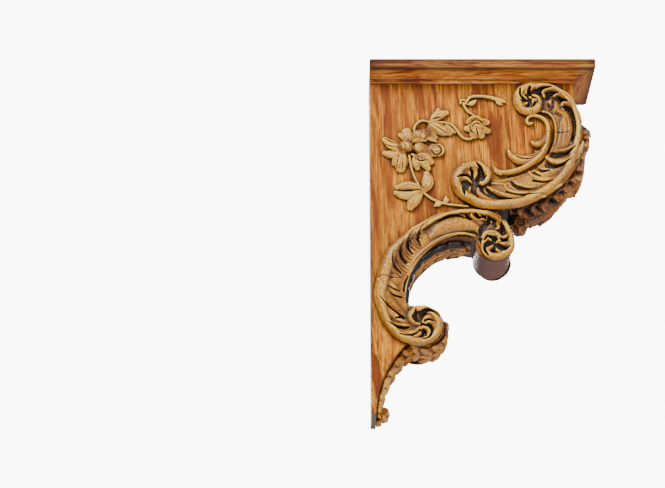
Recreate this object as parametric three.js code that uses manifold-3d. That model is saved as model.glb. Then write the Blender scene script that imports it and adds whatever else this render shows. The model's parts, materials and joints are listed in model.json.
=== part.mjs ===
// A carved oak corbel bracket. A shaped oak body carries a mitred cap moulding on three sides. Cast
// ornament is glued to it: two C-scrolls and a flower spray on each side, and leaves on the belly, the
// arch, the lower roll and the leg.
// Millimetres. X leads out from the wall, Y goes across the bracket and Z is up. The origin is the middle
// of the flat back that is fixed to the wall. In the side view a place is given as [x, down], down from
// the top.
import * as THREE from "three";
import { mergeVertices } from "three/addons/utils/BufferGeometryUtils.js";
import Module from "manifold-3d";

const wasm = await Module();
wasm.setup();

// The oak body
const bodyHeight = 358;
const bodyWidth = 54;
const bellyCentre = [136.7, 78.1];
const bellyRadius = 70;
const bellyBulge = 3.7; // how far the belly stands out past the front face under the cap
const bellyEnd = 97; // the angle on the belly at which it ends over the roll
const rollCentre = [119.5, 187.5];
const rollRadius = 18;
const archCentre = [88.2, 237.5];
const archRadius = 56;
const lowerRollCentre = [52, 271];
const lowerRollRadius = 18.5;
const lowerRollEnd = 135; // the angle on the lower roll at which the leg starts
const footThickness = 5;
const notchDepth = 7; // how far the shadow gap between belly and roll goes up past the belly's end

// The cap moulding
const capOverhang = 19.5;
const fasciaHeight = 9.5;
const topEdge = 1.2;
const ledge = 2.5;
const filletHeight = 1.6;
const beadRadius = 1.9;
const coveHeight = 4;

// The cast ornament
const glueGap = 0.3; // between a piece and what it is fixed to
const curvedGap = 0.5; // the same on a round face, which has flat facets
const groundHeight = 3;
const rimHeight = 9;
const rimWidth = 8;
const rimLip = 2; // how far a scroll's rim stands past the belly's outline
const bladeHeight = 6.5;
const lobeHeight = 6.5;
const upperBandWidth = 33;
const lowerBandWidth = 28;
const ribWidth = 4.5;
const leafMargin = 2.5; // bare wood on each side of a leaf on a round face

const topZ = bodyHeight / 2;
const frontFace = bellyCentre[0] + bellyRadius - bellyBulge;
const bellyRim = bellyRadius + rimLip;
const archRim = archRadius + lowerBandWidth;
const degrees = Math.PI / 180;

// Places and curves

const polar = ([x, down], radius, angle) => [
  x + radius * Math.cos(angle * degrees),
  down + radius * Math.sin(angle * degrees),
];

// Points on an arc, from one angle to another, at most step degrees apart. Angles grow clockwise in the
// side view.
function arc(centre, radius, from, to, step = 9) {
  const count = Math.max(1, Math.ceil(Math.abs(to - from) / step));
  return Array.from({ length: count + 1 }, (_, i) => polar(centre, radius, from + ((to - from) * i) / count));
}

// The angle at which two circles cross, seen from the first, on the side that sign picks.
function crossing(centreA, radiusA, centreB, radiusB, sign) {
  const dx = centreB[0] - centreA[0];
  const dy = centreB[1] - centreA[1];
  const apart = Math.hypot(dx, dy);
  const cosine = (apart ** 2 + radiusA ** 2 - radiusB ** 2) / (2 * apart * radiusA);
  return (Math.atan2(dy, dx) + sign * Math.acos(cosine)) / degrees;
}

// The same direction as angle, as the first one after from.
const after = (from, angle) => from + THREE.MathUtils.euclideanModulo(angle - from, 360);

// Where the rounds of the body's side outline begin and end, as angles on each of them.
const bellyTop = -Math.acos(1 - bellyBulge / bellyRadius) / degrees;
const rollTop = -50;
const rollEnd = after(rollTop, crossing(rollCentre, rollRadius, archCentre, archRadius, 1));
const archTop = crossing(archCentre, archRadius, rollCentre, rollRadius, -1);
const archEnd = after(archTop, crossing(archCentre, archRadius, lowerRollCentre, lowerRollRadius, 1)) - 360;
const lowerRollTop = crossing(lowerRollCentre, lowerRollRadius, archCentre, archRadius, -1);

// The hollow front of the leg is an arc that starts on the lower roll and comes down upright at the foot.
const [legX, legDown] = polar(lowerRollCentre, lowerRollRadius, lowerRollEnd);
const legRadius = Math.hypot(legX - footThickness, bodyHeight - legDown) ** 2 / 2 / (legX - footThickness);
const legCentre = [footThickness + legRadius, bodyHeight];
const legTop = Math.asin((bodyHeight - legDown) / legRadius) / degrees - 180;
const legFoot = -180;

// A smooth line of count + 1 points through the given ones.
function smooth(points, count) {
  const curve = new THREE.CatmullRomCurve3(points.map(([a, b]) => new THREE.Vector3(a, b, 0)));
  return curve.getPoints(count).map((p) => [p.x, p.y]);
}

// Surfaces that ornament lies on. Each turns (along, across, height above the surface) into a point.

const sideFace = (side) => (x, down, height) =>
  new THREE.Vector3(x, side * (bodyWidth / 2 + glueGap + height), topZ - down);

// A round face: along is an angle in degrees. bulge is 1 where the face bulges and -1 where it is hollow.
const roundFace = (centre, radius, bulge) => (along, across, height) => {
  const [x, down] = polar(centre, radius + bulge * (curvedGap + height), along);
  return new THREE.Vector3(x, across, topZ - down);
};

// Solids

function toSolid(geometry) {
  const bare = geometry.clone();
  bare.deleteAttribute("normal");
  bare.deleteAttribute("uv");
  const merged = mergeVertices(bare, 1e-4);
  const triVerts = new Uint32Array(merged.index.array);
  const vertProperties = merged.attributes.position.array;
  return new wasm.Manifold(new wasm.Mesh({ numProp: 3, vertProperties, triVerts }));
}

function toGeometry(solid) {
  const mesh = solid.getMesh();
  return new THREE.BufferGeometry()
    .setAttribute("position", new THREE.BufferAttribute(mesh.vertProperties, 3))
    .setIndex(new THREE.BufferAttribute(mesh.triVerts, 1));
}

const join = (solids) => solids.reduce((whole, next) => whole.add(next));

// A closed geometry through rings of equally many points. outline is one ring in 2-D, for the flat ends.
function loft(rings, outline) {
  const size = outline.length;
  const positions = rings.flat().flatMap((p) => [p.x, p.y, p.z]);
  const index = [];
  for (let i = 0; i + 1 < rings.length; i++) {
    for (let j = 0; j < size; j++) {
      const next = (j + 1) % size;
      const [a, b, c, d] = [i * size + j, i * size + next, (i + 1) * size + next, (i + 1) * size + j];
      index.push(a, b, c, a, c, d);
    }
  }
  const last = (rings.length - 1) * size;
  const clockwise = THREE.ShapeUtils.isClockWise(outline);
  for (const [a, b, c] of THREE.ShapeUtils.triangulateShape(outline, [])) {
    const [p, q, r] = clockwise ? [a, b, c] : [a, c, b];
    index.push(p, q, r, last + p, last + r, last + q);
  }
  return facingOut(new THREE.BufferGeometry(), positions, index);
}

// Fills in a geometry, turned so that its faces point out.
function facingOut(geometry, positions, index) {
  const at = (i) => new THREE.Vector3(...positions.slice(3 * i, 3 * i + 3));
  let volume = 0;
  for (let i = 0; i < index.length; i += 3) {
    volume += at(index[i]).dot(at(index[i + 1]).cross(at(index[i + 2])));
  }
  if (volume < 0) {
    for (let i = 0; i < index.length; i += 3) {
      [index[i + 1], index[i + 2]] = [index[i + 2], index[i + 1]];
    }
  }
  return geometry.setAttribute("position", new THREE.Float32BufferAttribute(positions, 3)).setIndex(index);
}

// A band along a path on a surface. section(t) gives its cross-section as [across, height] points, across
// to the right of the path as it is seen with along to the right and across down.
function band(surface, path, section) {
  const rings = path.map(([a, b], i) => {
    const [fromA, fromB] = path[Math.max(0, i - 1)];
    const [toA, toB] = path[Math.min(path.length - 1, i + 1)];
    const length = Math.hypot(toA - fromA, toB - fromB);
    const right = [(fromB - toB) / length, (toA - fromA) / length];
    return section(i / (path.length - 1)).map(([w, h]) => surface(a + right[0] * w, b + right[1] * w, h));
  });
  return toSolid(loft(rings, section(0.5).map(([w, h]) => new THREE.Vector2(w, h))));
}

// A carved lobe or leaf: widest part-way along, its crest leaning to one side, thinning to both ends. foot
// is the height at which it starts, more than nothing where it stands on a ground.
function lobe(surface, path, width, height, { lean = 0, fullest = 0.45, tip = 0.12, foot = 0 } = {}) {
  const swell = (t) => tip + (1 - tip) * Math.sin(Math.PI * t ** (Math.log(0.5) / Math.log(fullest))) ** 0.8;
  return band(surface, path, (t) => {
    const half = (width / 2) * swell(t);
    return [
      [-half, foot],
      [lean * half, height * (0.55 + 0.45 * swell(t))],
      [half, foot],
    ];
  });
}

// Scrolls

// A volute starts from the band at the angle start and goes round by turn to its eye. blades is how many
// blades fill it.
function volute(centre, radius, start, turn, flare, curl, power, blades) {
  return { centre, radius, start, turn, flare, curl, power, blades };
}

// A volute's radius at share t of its turn. It comes in from the band with a flare, keeps nearly round and
// then curls in to its eye.
function spiralRadius({ radius, flare, curl, power }, t) {
  return radius * (1 + flare * (1 - t) ** 5 - curl * t ** power);
}

function volutePath(spiral, from, to, count) {
  return Array.from({ length: count + 1 }, (_, i) => {
    const t = from + ((to - from) * i) / count;
    return polar(spiral.centre, spiralRadius(spiral, t), spiral.start + spiral.turn * t);
  });
}

// The raised rim of a whole scroll, out of the first volute, round the arc and into the second one. Along
// the arc a thin ground as wide as the band goes with it.
function rimAndGround(surface, { first, second, centre, radius, bandWidth, from, to, sense }) {
  const turnSteps = 8;
  const outward = volutePath(first, 1, 0, turnSteps);
  const inward = volutePath(second, 0, 1, turnSteps);
  const points = [...outward, ...arc(centre, radius, from, to, 22), ...inward];
  return band(surface, smooth(points, 31), (t) => {
    const taper = 0.42 + 0.58 * Math.sin(Math.PI * t) ** 0.6;
    const width = rimWidth * taper;
    const height = rimHeight * (0.75 + 0.25 * taper);
    const stepsIn = Math.min(t, 1 - t) * (points.length - 1);
    const onArc = THREE.MathUtils.smoothstep(stepsIn, turnSteps + 0.2, turnSteps + 2);
    const edge = width + 0.4 + (bandWidth - width) * onArc;
    return [
      [0, 0],
      [0.15 * width, height],
      [0.7 * width, 0.95 * height],
      [width, groundHeight],
      [edge, groundHeight],
      [edge, 0],
    ].map(([w, h]) => [sense * w, h]);
  });
}

// The pinwheel of blades in a volute: each leaves the rim along it and bends in to the eye.
function pinwheel(surface, spiral, sense) {
  const { centre, start, turn, blades, radius } = spiral;
  const way = Math.sign(turn);
  return Array.from({ length: blades }, (_, k) => {
    const t = (0.78 * k) / blades;
    const root = spiralRadius(spiral, t) - 0.25 * radius;
    const path = [0, 0.4, 0.75, 1].map((u) =>
      polar(centre, root + (0.16 * radius - root) * u ** 1.5, start + turn * t + way * 105 * u),
    );
    const lean = -0.5 * sense * way;
    return lobe(surface, path, 0.3 * radius, bladeHeight, { lean, fullest: 0.4, foot: groundHeight / 2 });
  });
}

// A feather of the band: it leaves the rim along it and hooks in towards the inner edge.
function feather(surface, { centre, radius }, [at, turn, tipRadius, width]) {
  const root = radius - 0.7 * rimWidth;
  const path = [0, 0.4, 0.75, 1].map((u) =>
    polar(centre, root + (tipRadius - root) * u ** 1.7, at + turn * Math.sin(u * 110 * degrees)),
  );
  const lean = 0.4 * Math.sign(turn);
  return lobe(surface, path, width, lobeHeight, { lean, fullest: 0.6, tip: 0.25, foot: groundHeight / 2 });
}

// The whole scroll: rim and ground, a disc under each volute, the blades in them and the feathers on the
// band.
function scroll(side, spec) {
  const surface = sideFace(side);
  const volutes = [spec.first, spec.second];
  const discs = volutes.map(({ centre: [x, down], radius }) => {
    const disc = new THREE.CylinderGeometry(0.9 * radius, 0.9 * radius, groundHeight, 12);
    return toSolid(disc.translate(x, side * (bodyWidth / 2 + glueGap + groundHeight / 2), topZ - down));
  });
  return join([
    rimAndGround(surface, spec),
    ...discs,
    ...volutes.flatMap((spiral) => pinwheel(surface, spiral, spec.sense)),
    ...spec.feathers.map((row) => feather(surface, spec, row)),
    ...spec.extras(surface),
  ]);
}

const upperScroll = {
  centre: bellyCentre,
  radius: bellyRim,
  bandWidth: upperBandWidth,
  sense: 1,
  from: -48,
  to: 92,
  first: volute(polar(bellyCentre, bellyRim - 29.3, -61.6), 14.6, -73, -373, 0.41, 0.53, 8, 5),
  second: volute(polar(bellyCentre, bellyRim - 16, 127.4), 22, 118, 298, 0.09, 0.62, 5, 6),
  // angle, turn, radius of the tip, width
  feathers: [
    [-22, -20, bellyRim - 22, 6],
    [4, 22, bellyRim - 26, 7],
    [22, 22, bellyRim - 30, 8],
    [43, 22, bellyRim - 30, 7],
    [64, 20, bellyRim - 22, 7],
    [82, 22, bellyRim - 18, 8],
  ],
  extras: innerRib,
};

const lowerScroll = {
  centre: archCentre,
  radius: archRim,
  bandWidth: lowerBandWidth,
  sense: -1,
  from: -78,
  to: -206,
  first: volute([rollCentre[0] + 0.5, rollCentre[1] + 2.3], 15, -88, 400, 1, 0.42, 12, 5),
  second: volute([lowerRollCentre[0] - 2.3, lowerRollCentre[1] + 0.6], 19.5, 117, -288, 0.15, 0.48, 15, 6),
  feathers: [
    [-118, -14, archRadius + 3, 8],
    [-134, -14, archRadius + 3, 8],
    [-150, -14, archRadius + 3, 8],
    [-167, -14, archRadius + 3, 7],
    [-184, -14, archRadius + 2, 7],
  ],
  extras: innerEdge,
};

// The upper scroll's inner rib, its small curl at the top and the leaves that spring from it.
function innerRib(surface) {
  const { centre, radius, bandWidth } = upperScroll;
  const ribRadius = radius - bandWidth + ribWidth / 2;
  const curl = volute([159, 60.5], 5.2, -60, -300, 0.2, 0.5, 2, 0);
  const path = [...volutePath(curl, 1, 0, 5), ...arc(centre, ribRadius, -16, 112, 12)];
  const rib = band(surface, path, (t) => {
    const width = ribWidth * (0.6 + 0.4 * Math.sin(Math.PI * t));
    return [
      [-width / 2, 0],
      [0, lobeHeight],
      [width / 2, 0],
    ];
  });
  // from angle, to angle, depth inside the rib, width
  const leaves = [
    [4, 30, 17, 6],
    [14, 66, 22, 9],
    [60, 108, 9, 7],
  ].map(([from, to, inside, width]) => {
    const line = [0, 0.35, 0.7, 1].map((u) =>
      polar(centre, ribRadius - inside * u ** 1.4, from + (to - from) * Math.sin(u * 100 * degrees)),
    );
    return lobe(surface, line, width, 0.85 * lobeHeight, { fullest: 0.5 });
  });
  return [rib, ...leaves, groundStrip(surface, -62, -38), groundStrip(surface, 80, 114)];
}

// A strip of ground that closes the upper band between its rim, its rib and a volute.
function groundStrip(surface, from, to) {
  const middle = bellyRim - 0.72 * upperBandWidth;
  const half = 0.3 * upperBandWidth;
  return band(surface, arc(bellyCentre, middle, from, to, 13), () => [
    [-half, 0],
    [-half, groundHeight],
    [half, groundHeight],
    [half, 0],
  ]);
}

// The lower scroll's raised inner edge along the arch, and the smooth rounded panel above it.
function innerEdge(surface) {
  const { centre, from } = lowerScroll;
  const edge = band(surface, arc(centre, archRadius + 1.5, from + 4, -196, 12), () => [
    [-1.5, 0],
    [-1.5, 0.6 * rimHeight],
    [1.5, 0.6 * rimHeight],
    [1.5, 0],
  ]);
  const middle = arc(centre, archRadius + 9, -74, -124, 9);
  const panel = lobe(surface, middle, 0.45 * lowerBandWidth, lobeHeight, { tip: 0.5 });
  return [edge, panel];
}

// Leaves on the round faces

// A leaf along a round face, from one angle to another: a raised midrib with lobes on both sides, which
// lean along it by the angle lean. halfWidth and crest give its half width and its share of the height at
// share t.
function runningLeaf(surface, { start, end, halfWidth, height, lobes, lean, crest }) {
  const swells = [0, 0.8, 1, 0.55];
  const count = swells.length * lobes;
  const section = (i) => {
    const swell = swells[i % swells.length];
    const wide = halfWidth(i / count) * (0.78 + 0.22 * swell);
    const tall = height * crest(i / count) * (0.45 + 0.55 * swell);
    const side = [
      [wide, 0],
      [0.85 * wide, 0.75 * tall],
      [0.45 * wide, tall],
    ];
    const midrib = [0, 0.8 * height * crest(i / count)];
    return [...side, midrib, ...side.map(([w, h]) => [-w, h]).reverse()];
  };
  const rings = Array.from({ length: count + 1 }, (_, i) => {
    const along = start + ((end - start) * i) / count;
    return section(i).map(([w, h]) => surface(along + lean * (Math.abs(w) / halfWidth(0)) ** 1.5, w, h));
  });
  return toSolid(loft(rings, section(2).map(([w, h]) => new THREE.Vector2(w, h))));
}

const fullHalf = bodyWidth / 2 - leafMargin;

// A curl in which a leaf ends: a short round bar across the bracket.
function leafCurl([x, down], radius, length) {
  const bar = new THREE.CylinderGeometry(radius, radius, length, 12);
  return toSolid(bar.translate(x, 0, topZ - down));
}

function bellyLeaf() {
  const leaf = runningLeaf(roundFace(bellyCentre, bellyRadius, 1), {
    start: bellyTop + 3,
    end: bellyEnd - 17,
    halfWidth: () => fullHalf,
    height: 9.5,
    lobes: 6,
    lean: 10,
    crest: (t) => 0.9 + 0.4 * t ** 3 + 0.3 * Math.exp(-(((t - 0.14) / 0.08) ** 2)),
  });
  return leaf.add(leafCurl(polar(bellyCentre, bellyRadius + 12.5, bellyEnd - 15), 8, fullHalf));
}

function archLeaf() {
  return runningLeaf(roundFace(archCentre, archRadius, -1), {
    start: archTop - 8,
    end: archEnd + 26,
    halfWidth: (t) => fullHalf * (0.9 - 0.3 * t),
    height: 5.5,
    lobes: 5,
    lean: -14,
    crest: () => 1,
  });
}

// The leaf that wraps round the lower roll and runs on down the leg to the curl at the foot.
// It is thickest in the corner where the leg leaves the roll.
function legLeaf() {
  const wrap = runningLeaf(roundFace(lowerRollCentre, lowerRollRadius, 1), {
    start: lowerRollTop + 114,
    end: lowerRollEnd - 16,
    halfWidth: () => 0.95 * fullHalf,
    height: 5,
    lobes: 3,
    lean: 10,
    crest: () => 1,
  });
  const curlRadius = 5.5;
  const onLeg = (length) => legFoot + length / legRadius / degrees;
  const strip = runningLeaf(roundFace(legCentre, legRadius, -1), {
    start: legTop,
    end: onLeg(1.8 * curlRadius),
    halfWidth: (t) => fullHalf * (0.9 - 0.4 * t),
    height: 8,
    lobes: 5,
    lean: legFoot - onLeg(curlRadius),
    crest: (t) => 1 - 0.35 * t,
  });
  const curlCentre = polar(legCentre, legRadius - curvedGap - curlRadius - 0.5, onLeg(1.2 * curlRadius));
  const outOfRoll = new THREE.Vector2(...polar([0, 0], 1, lowerRollEnd));
  const outOfLeg = new THREE.Vector2(...polar([0, 0], -1, legTop));
  const cornerRadius = 3.5;
  const corner = outOfRoll.add(outOfLeg).setLength(cornerRadius + 2).add(new THREE.Vector2(legX, legDown));
  const thickCorner = leafCurl([corner.x, corner.y], cornerRadius, 1.3 * fullHalf);
  return join([wrap, strip, thickCorner, leafCurl(curlCentre, curlRadius, 1.1 * fullHalf)]);
}

// The flower spray

function flowerSpray(side) {
  const surface = sideFace(side);
  const stemHeight = 3.2;
  const stem = (points, count, width) =>
    band(surface, smooth(points, count), () => [
      [-width / 2, 0],
      [0, stemHeight],
      [width / 2, 0],
    ]);
  const stems = [
    stem([[133, 41], [120, 34], [105, 32], [94, 38], [99, 49], [106, 57]], 9, 3),
    stem([[106, 62], [101, 76], [93, 79], [87, 71], [79, 63], [58, 62], [45, 66], [40, 80]], 12, 2.6),
    stem([[38, 92], [41, 112], [47, 126], [54, 136], [68, 143], [88, 148.5]], 9, 3.2),
  ];
  // root x, root down, direction in degrees, length, width, height
  const leaves = [
    [58, 62, -28, 25, 12, 4],
    [57, 62, 24, 28, 12, 4],
    [46, 66, 70, 18, 11, 5],
    [54, 135, -82, 26, 13, 4],
    [53, 131, -178, 30, 13, 4],
    [53, 134, 132, 27, 14, 4],
    [70, 144, -68, 10, 6, 4],
    [78, 147, 165, 14, 7, 4],
    [94, 38, 160, 8, 6, 3.5],
    [97, 36, 18, 12, 6, 3.5],
    [131, 40, 25, 9, 5, 3.5],
  ].map((row) => sprayLeaf(surface, row));
  return join([...stems, ...leaves, ...rosette(surface), ...rosebud(surface)]);
}

function sprayLeaf(surface, [x, down, direction, length, width, height]) {
  const path = [0, 0.35, 0.75, 1].map((u) => polar([x, down], u * length, direction + 14 * u * u));
  return lobe(surface, path, width, height, { fullest: 0.55, tip: 0.15 });
}

// The open flower: petals round a low centre, some of them long and drooping.
function rosette(surface) {
  const centre = [36, 87];
  // direction, length, width
  const petals = [
    [-84, 20, 13],
    [-160, 25, 10],
    [160, 24, 10],
    [98, 26, 14],
    [48, 27, 13],
    [4, 33, 14],
  ].map(([direction, length, width]) => sprayLeaf(surface, [...centre, direction, length, width, 6]));
  const eye = band(surface, [[29, 87], [32, 87], [40, 87], [43, 87]], (t) => {
    const half = 3 + 3.5 * Math.sin(Math.PI * t);
    return [
      [-half, 0],
      [-half / 2, 7.5],
      [half / 2, 7.5],
      [half, 0],
    ];
  });
  return [...petals, eye];
}

// The half-closed bud on the upper tendril: overlapping petals that cup downwards.
function rosebud(surface) {
  const top = [106, 56];
  const heights = [5.5, 6.1];
  return [150, 115, 75, 35].map((direction, k) => {
    return sprayLeaf(surface, [...top, direction, 20, 11, heights[k % 2]]);
  });
}

// The oak body and the cap

function oakBody() {
  const [notchX, notchDown] = polar(bellyCentre, bellyRadius, bellyEnd);
  const outline = [
    [0, 0],
    [frontFace, 0],
    ...arc(bellyCentre, bellyRadius, bellyTop, bellyEnd, 7),
    [notchX - notchDepth / 2, notchDown + notchDepth],
    ...arc(rollCentre, rollRadius, rollTop, rollEnd, 15),
    ...arc(archCentre, archRadius, archTop, archEnd, 8).slice(1),
    ...arc(lowerRollCentre, lowerRollRadius, lowerRollTop, lowerRollEnd, 15).slice(1),
    ...arc(legCentre, legRadius, legTop, legFoot, 5).slice(1),
    [0, bodyHeight],
  ];
  const shape = new THREE.Shape(outline.map(([x, down]) => new THREE.Vector2(x, topZ - down)));
  const geometry = new THREE.ExtrudeGeometry(shape, { depth: bodyWidth, bevelEnabled: false });
  return geometry.rotateX(Math.PI / 2).translate(0, bodyWidth / 2, 0);
}

// The moulding's section as [out from the body, down from the top], with a fascia, a fillet, a cove and a
// bead.
function mouldingSection() {
  const coveTop = fasciaHeight + filletHeight;
  const coveOut = capOverhang - ledge;
  const cove = arc([0, 0], 1, -90, -180, 18).map(([x, y]) => [
    coveOut + (coveOut - beadRadius) * x,
    coveTop + coveHeight * (1 + y),
  ]);
  const beadCentre = [glueGap, coveTop + coveHeight + beadRadius];
  return [
    [glueGap, 0],
    [capOverhang - topEdge, 0],
    [capOverhang, topEdge],
    [capOverhang, fasciaHeight],
    [coveOut, fasciaHeight],
    ...cove,
    ...arc(beadCentre, beadRadius, -20, 90, 22),
  ];
}

// One run of moulding. start and end place a section point at each end, from its distance out of the body.
function mouldingRun(start, end) {
  const section = mouldingSection();
  const ring = (place) => section.map(([out, down]) => place(out, topZ - down));
  return loft([ring(start), ring(end)], section.map(([out, down]) => new THREE.Vector2(out, down)));
}

const sideRun = (side) => {
  const across = (out) => side * (bodyWidth / 2 + out);
  return mouldingRun(
    (out, z) => new THREE.Vector3(0, across(out), z),
    (out, z) => new THREE.Vector3(frontFace + out - glueGap, across(out), z),
  );
};

const frontRun = () => {
  const across = (out) => bodyWidth / 2 + out - glueGap;
  const end = (side) => (out, z) => new THREE.Vector3(frontFace + out, side * across(out), z);
  return mouldingRun(end(-1), end(1));
};

// The bracket

const oak = new THREE.MeshStandardMaterial({ color: 0xa9642a, roughness: 0.55, metalness: 0 });
const capOak = new THREE.MeshStandardMaterial({ color: 0x9c5422, roughness: 0.5, metalness: 0 });
const castOrnament = new THREE.MeshStandardMaterial({ color: 0xa8813f, roughness: 0.5, metalness: 0 });

const bracket = new THREE.Group();

function place(name, geometry, material) {
  const mesh = new THREE.Mesh(geometry, material);
  mesh.name = name;
  bracket.add(mesh);
}

place("oak_body", oakBody(), oak);
place("cap_moulding_left", sideRun(-1), capOak);
place("cap_moulding_front", frontRun(), capOak);
place("cap_moulding_right", sideRun(1), capOak);
for (const [word, side] of [["left", -1], ["right", 1]]) {
  place(`upper_scroll_${word}`, toGeometry(scroll(side, upperScroll)), castOrnament);
  place(`lower_scroll_${word}`, toGeometry(scroll(side, lowerScroll)), castOrnament);
  place(`flower_spray_${word}`, toGeometry(flowerSpray(side)), castOrnament);
}
place("belly_leaf", toGeometry(bellyLeaf()), castOrnament);
place("arch_leaf", toGeometry(archLeaf()), castOrnament);
place("leg_leaf", toGeometry(legLeaf()), castOrnament);

export default bracket;
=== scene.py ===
import json
import math

import bmesh
import bpy
import numpy as np
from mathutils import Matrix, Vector, geometry

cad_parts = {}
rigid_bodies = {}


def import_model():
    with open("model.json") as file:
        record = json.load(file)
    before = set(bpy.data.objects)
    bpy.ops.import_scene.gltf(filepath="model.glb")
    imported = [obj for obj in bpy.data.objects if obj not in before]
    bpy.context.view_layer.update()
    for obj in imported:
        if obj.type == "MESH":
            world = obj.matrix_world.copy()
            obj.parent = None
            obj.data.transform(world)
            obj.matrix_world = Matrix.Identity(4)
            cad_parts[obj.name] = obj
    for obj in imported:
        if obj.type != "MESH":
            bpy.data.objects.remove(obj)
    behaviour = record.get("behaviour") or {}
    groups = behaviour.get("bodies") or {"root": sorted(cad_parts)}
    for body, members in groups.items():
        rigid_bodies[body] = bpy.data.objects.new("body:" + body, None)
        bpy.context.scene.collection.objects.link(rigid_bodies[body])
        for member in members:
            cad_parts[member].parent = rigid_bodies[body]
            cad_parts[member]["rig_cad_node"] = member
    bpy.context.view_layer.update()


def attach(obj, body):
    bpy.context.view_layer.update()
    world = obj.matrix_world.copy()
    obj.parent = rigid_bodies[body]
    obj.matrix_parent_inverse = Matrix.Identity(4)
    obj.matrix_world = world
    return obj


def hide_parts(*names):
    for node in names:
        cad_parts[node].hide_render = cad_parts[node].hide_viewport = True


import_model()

# The relief is drawn on a sheet in the photograph's pixels: x away from the wall, y down. SHEET is mm to a
# pixel, and SHEET_X and SHEET_Y are how far the wall and the bracket's top are from the sheet's edges, in mm.
MM = 0.001
SHEET = 1.0163
SHEET_X = 378.6
SHEET_Y = 67.2
# The bracket's own sizes in mm, as in the CAD. A round form is its centre out from the wall, its centre down
# from the top, and its radius.
TOP = 179.0
HALF_WIDTH = 27.0
# How far the ornament's back stands off the oak: on the sides, on the round faces and on the leg.
GLUE = 0.3
ROUND_GLUE = 0.45
LEG_GLUE = 0.12
BELLY = (136.7, 78.1, 70.0)
ROLL = (119.5, 187.5, 18.0)
ARCH = (88.2, 237.5, 56.0)
LOWER_ROLL = (52.0, 271.0, 18.5)
FOOT_THICKNESS = 5.0
HEIGHT = 358.0
FRONT_FACE = 203.0
EDGE_ROUND = 0.9
MITRE_GAP = 0.3
NOTCH = (128.0, 158.0)
BELLY_CURL = (147.2, 159.0, 8.0)
FOOT_CURL = (12.4, 351.4, 5.4)
# How dark the walls of the leaves are painted, as shade where they meet the oak.
LEAF_RIM_SHADE = 0.42
# The spacing of the relief nets in mm.
STEP = 0.5
LEAF_STEP = 1.2 * STEP
noise_source = np.random.default_rng(7)


def sheet(points):
    """Sheet units to mm: x from the wall, y down from the top."""
    p = np.asarray(points, float)
    return np.stack([SHEET * p[:, 0] - SHEET_X, SHEET * p[:, 1] - SHEET_Y], 1)


def smooth(points, spacing=0.8):
    """A Catmull-Rom line through the points."""
    p = np.asarray(points, float)
    if len(p) == 2:
        count = max(2, int(np.hypot(*(p[1] - p[0])) / spacing))
        return p[0] + (p[1] - p[0]) * np.linspace(0, 1, count + 1)[:, None]
    ends = np.vstack([2 * p[0] - p[1], p, 2 * p[-1] - p[-2]])
    out = []
    for i in range(1, len(ends) - 2):
        a, b, c, d = ends[i - 1:i + 3]
        count = max(2, int(np.hypot(*(c - b)) / spacing))
        t = np.linspace(0, 1, count, endpoint=False)[:, None]
        out.append(0.5 * (2 * b + (c - a) * t + (2 * a - 5 * b + 4 * c - d) * t ** 2
                          + (3 * b - a - 3 * c + d) * t ** 3))
    return np.vstack(out + [p[-1:]])


def around(centre, radius, angles):
    """Points round a centre, at angles in radians."""
    return np.stack([centre[0] + radius * np.cos(angles), centre[1] + radius * np.sin(angles)], 1)


def lies_inside(closed, x, y):
    """Which places lie inside a line whose last point is its first."""
    inside = np.zeros(x.shape, bool)
    for a, b in zip(closed[:-1], closed[1:]):
        if a[1] != b[1]:
            crosses = (a[1] > y) != (b[1] > y)
            inside ^= crosses & (x < a[0] + (y - a[1]) * (b[0] - a[0]) / (b[1] - a[1]))
    return inside


def blur(a, sigma):
    """A Gaussian blur by separate rows and columns."""
    reach = max(1, int(3 * sigma))
    kernel = np.exp(-0.5 * (np.arange(-reach, reach + 1) / sigma) ** 2)
    kernel /= kernel.sum()
    padded = np.pad(a, reach, mode="edge")
    rows = sum(k * padded[:, i:i + a.shape[1]] for i, k in enumerate(kernel))
    return sum(k * rows[i:i + a.shape[0], :] for i, k in enumerate(kernel))


def highest(a, reach):
    """The highest value within reach rows and columns."""
    padded = np.pad(a, reach)
    rows = np.max([padded[:, i:i + a.shape[1]] for i in range(2 * reach + 1)], axis=0)
    return np.max([rows[i:i + a.shape[0], :] for i in range(2 * reach + 1)], axis=0)


def grain_noise(shape, scale, step=STEP):
    """Smooth noise, about -1 to 1, with blobs of the given size in mm."""
    a = blur(noise_source.standard_normal(shape), max(0.6, scale / step / 2.5))
    return a / (2.2 * a.std() + 1e-9)


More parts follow.
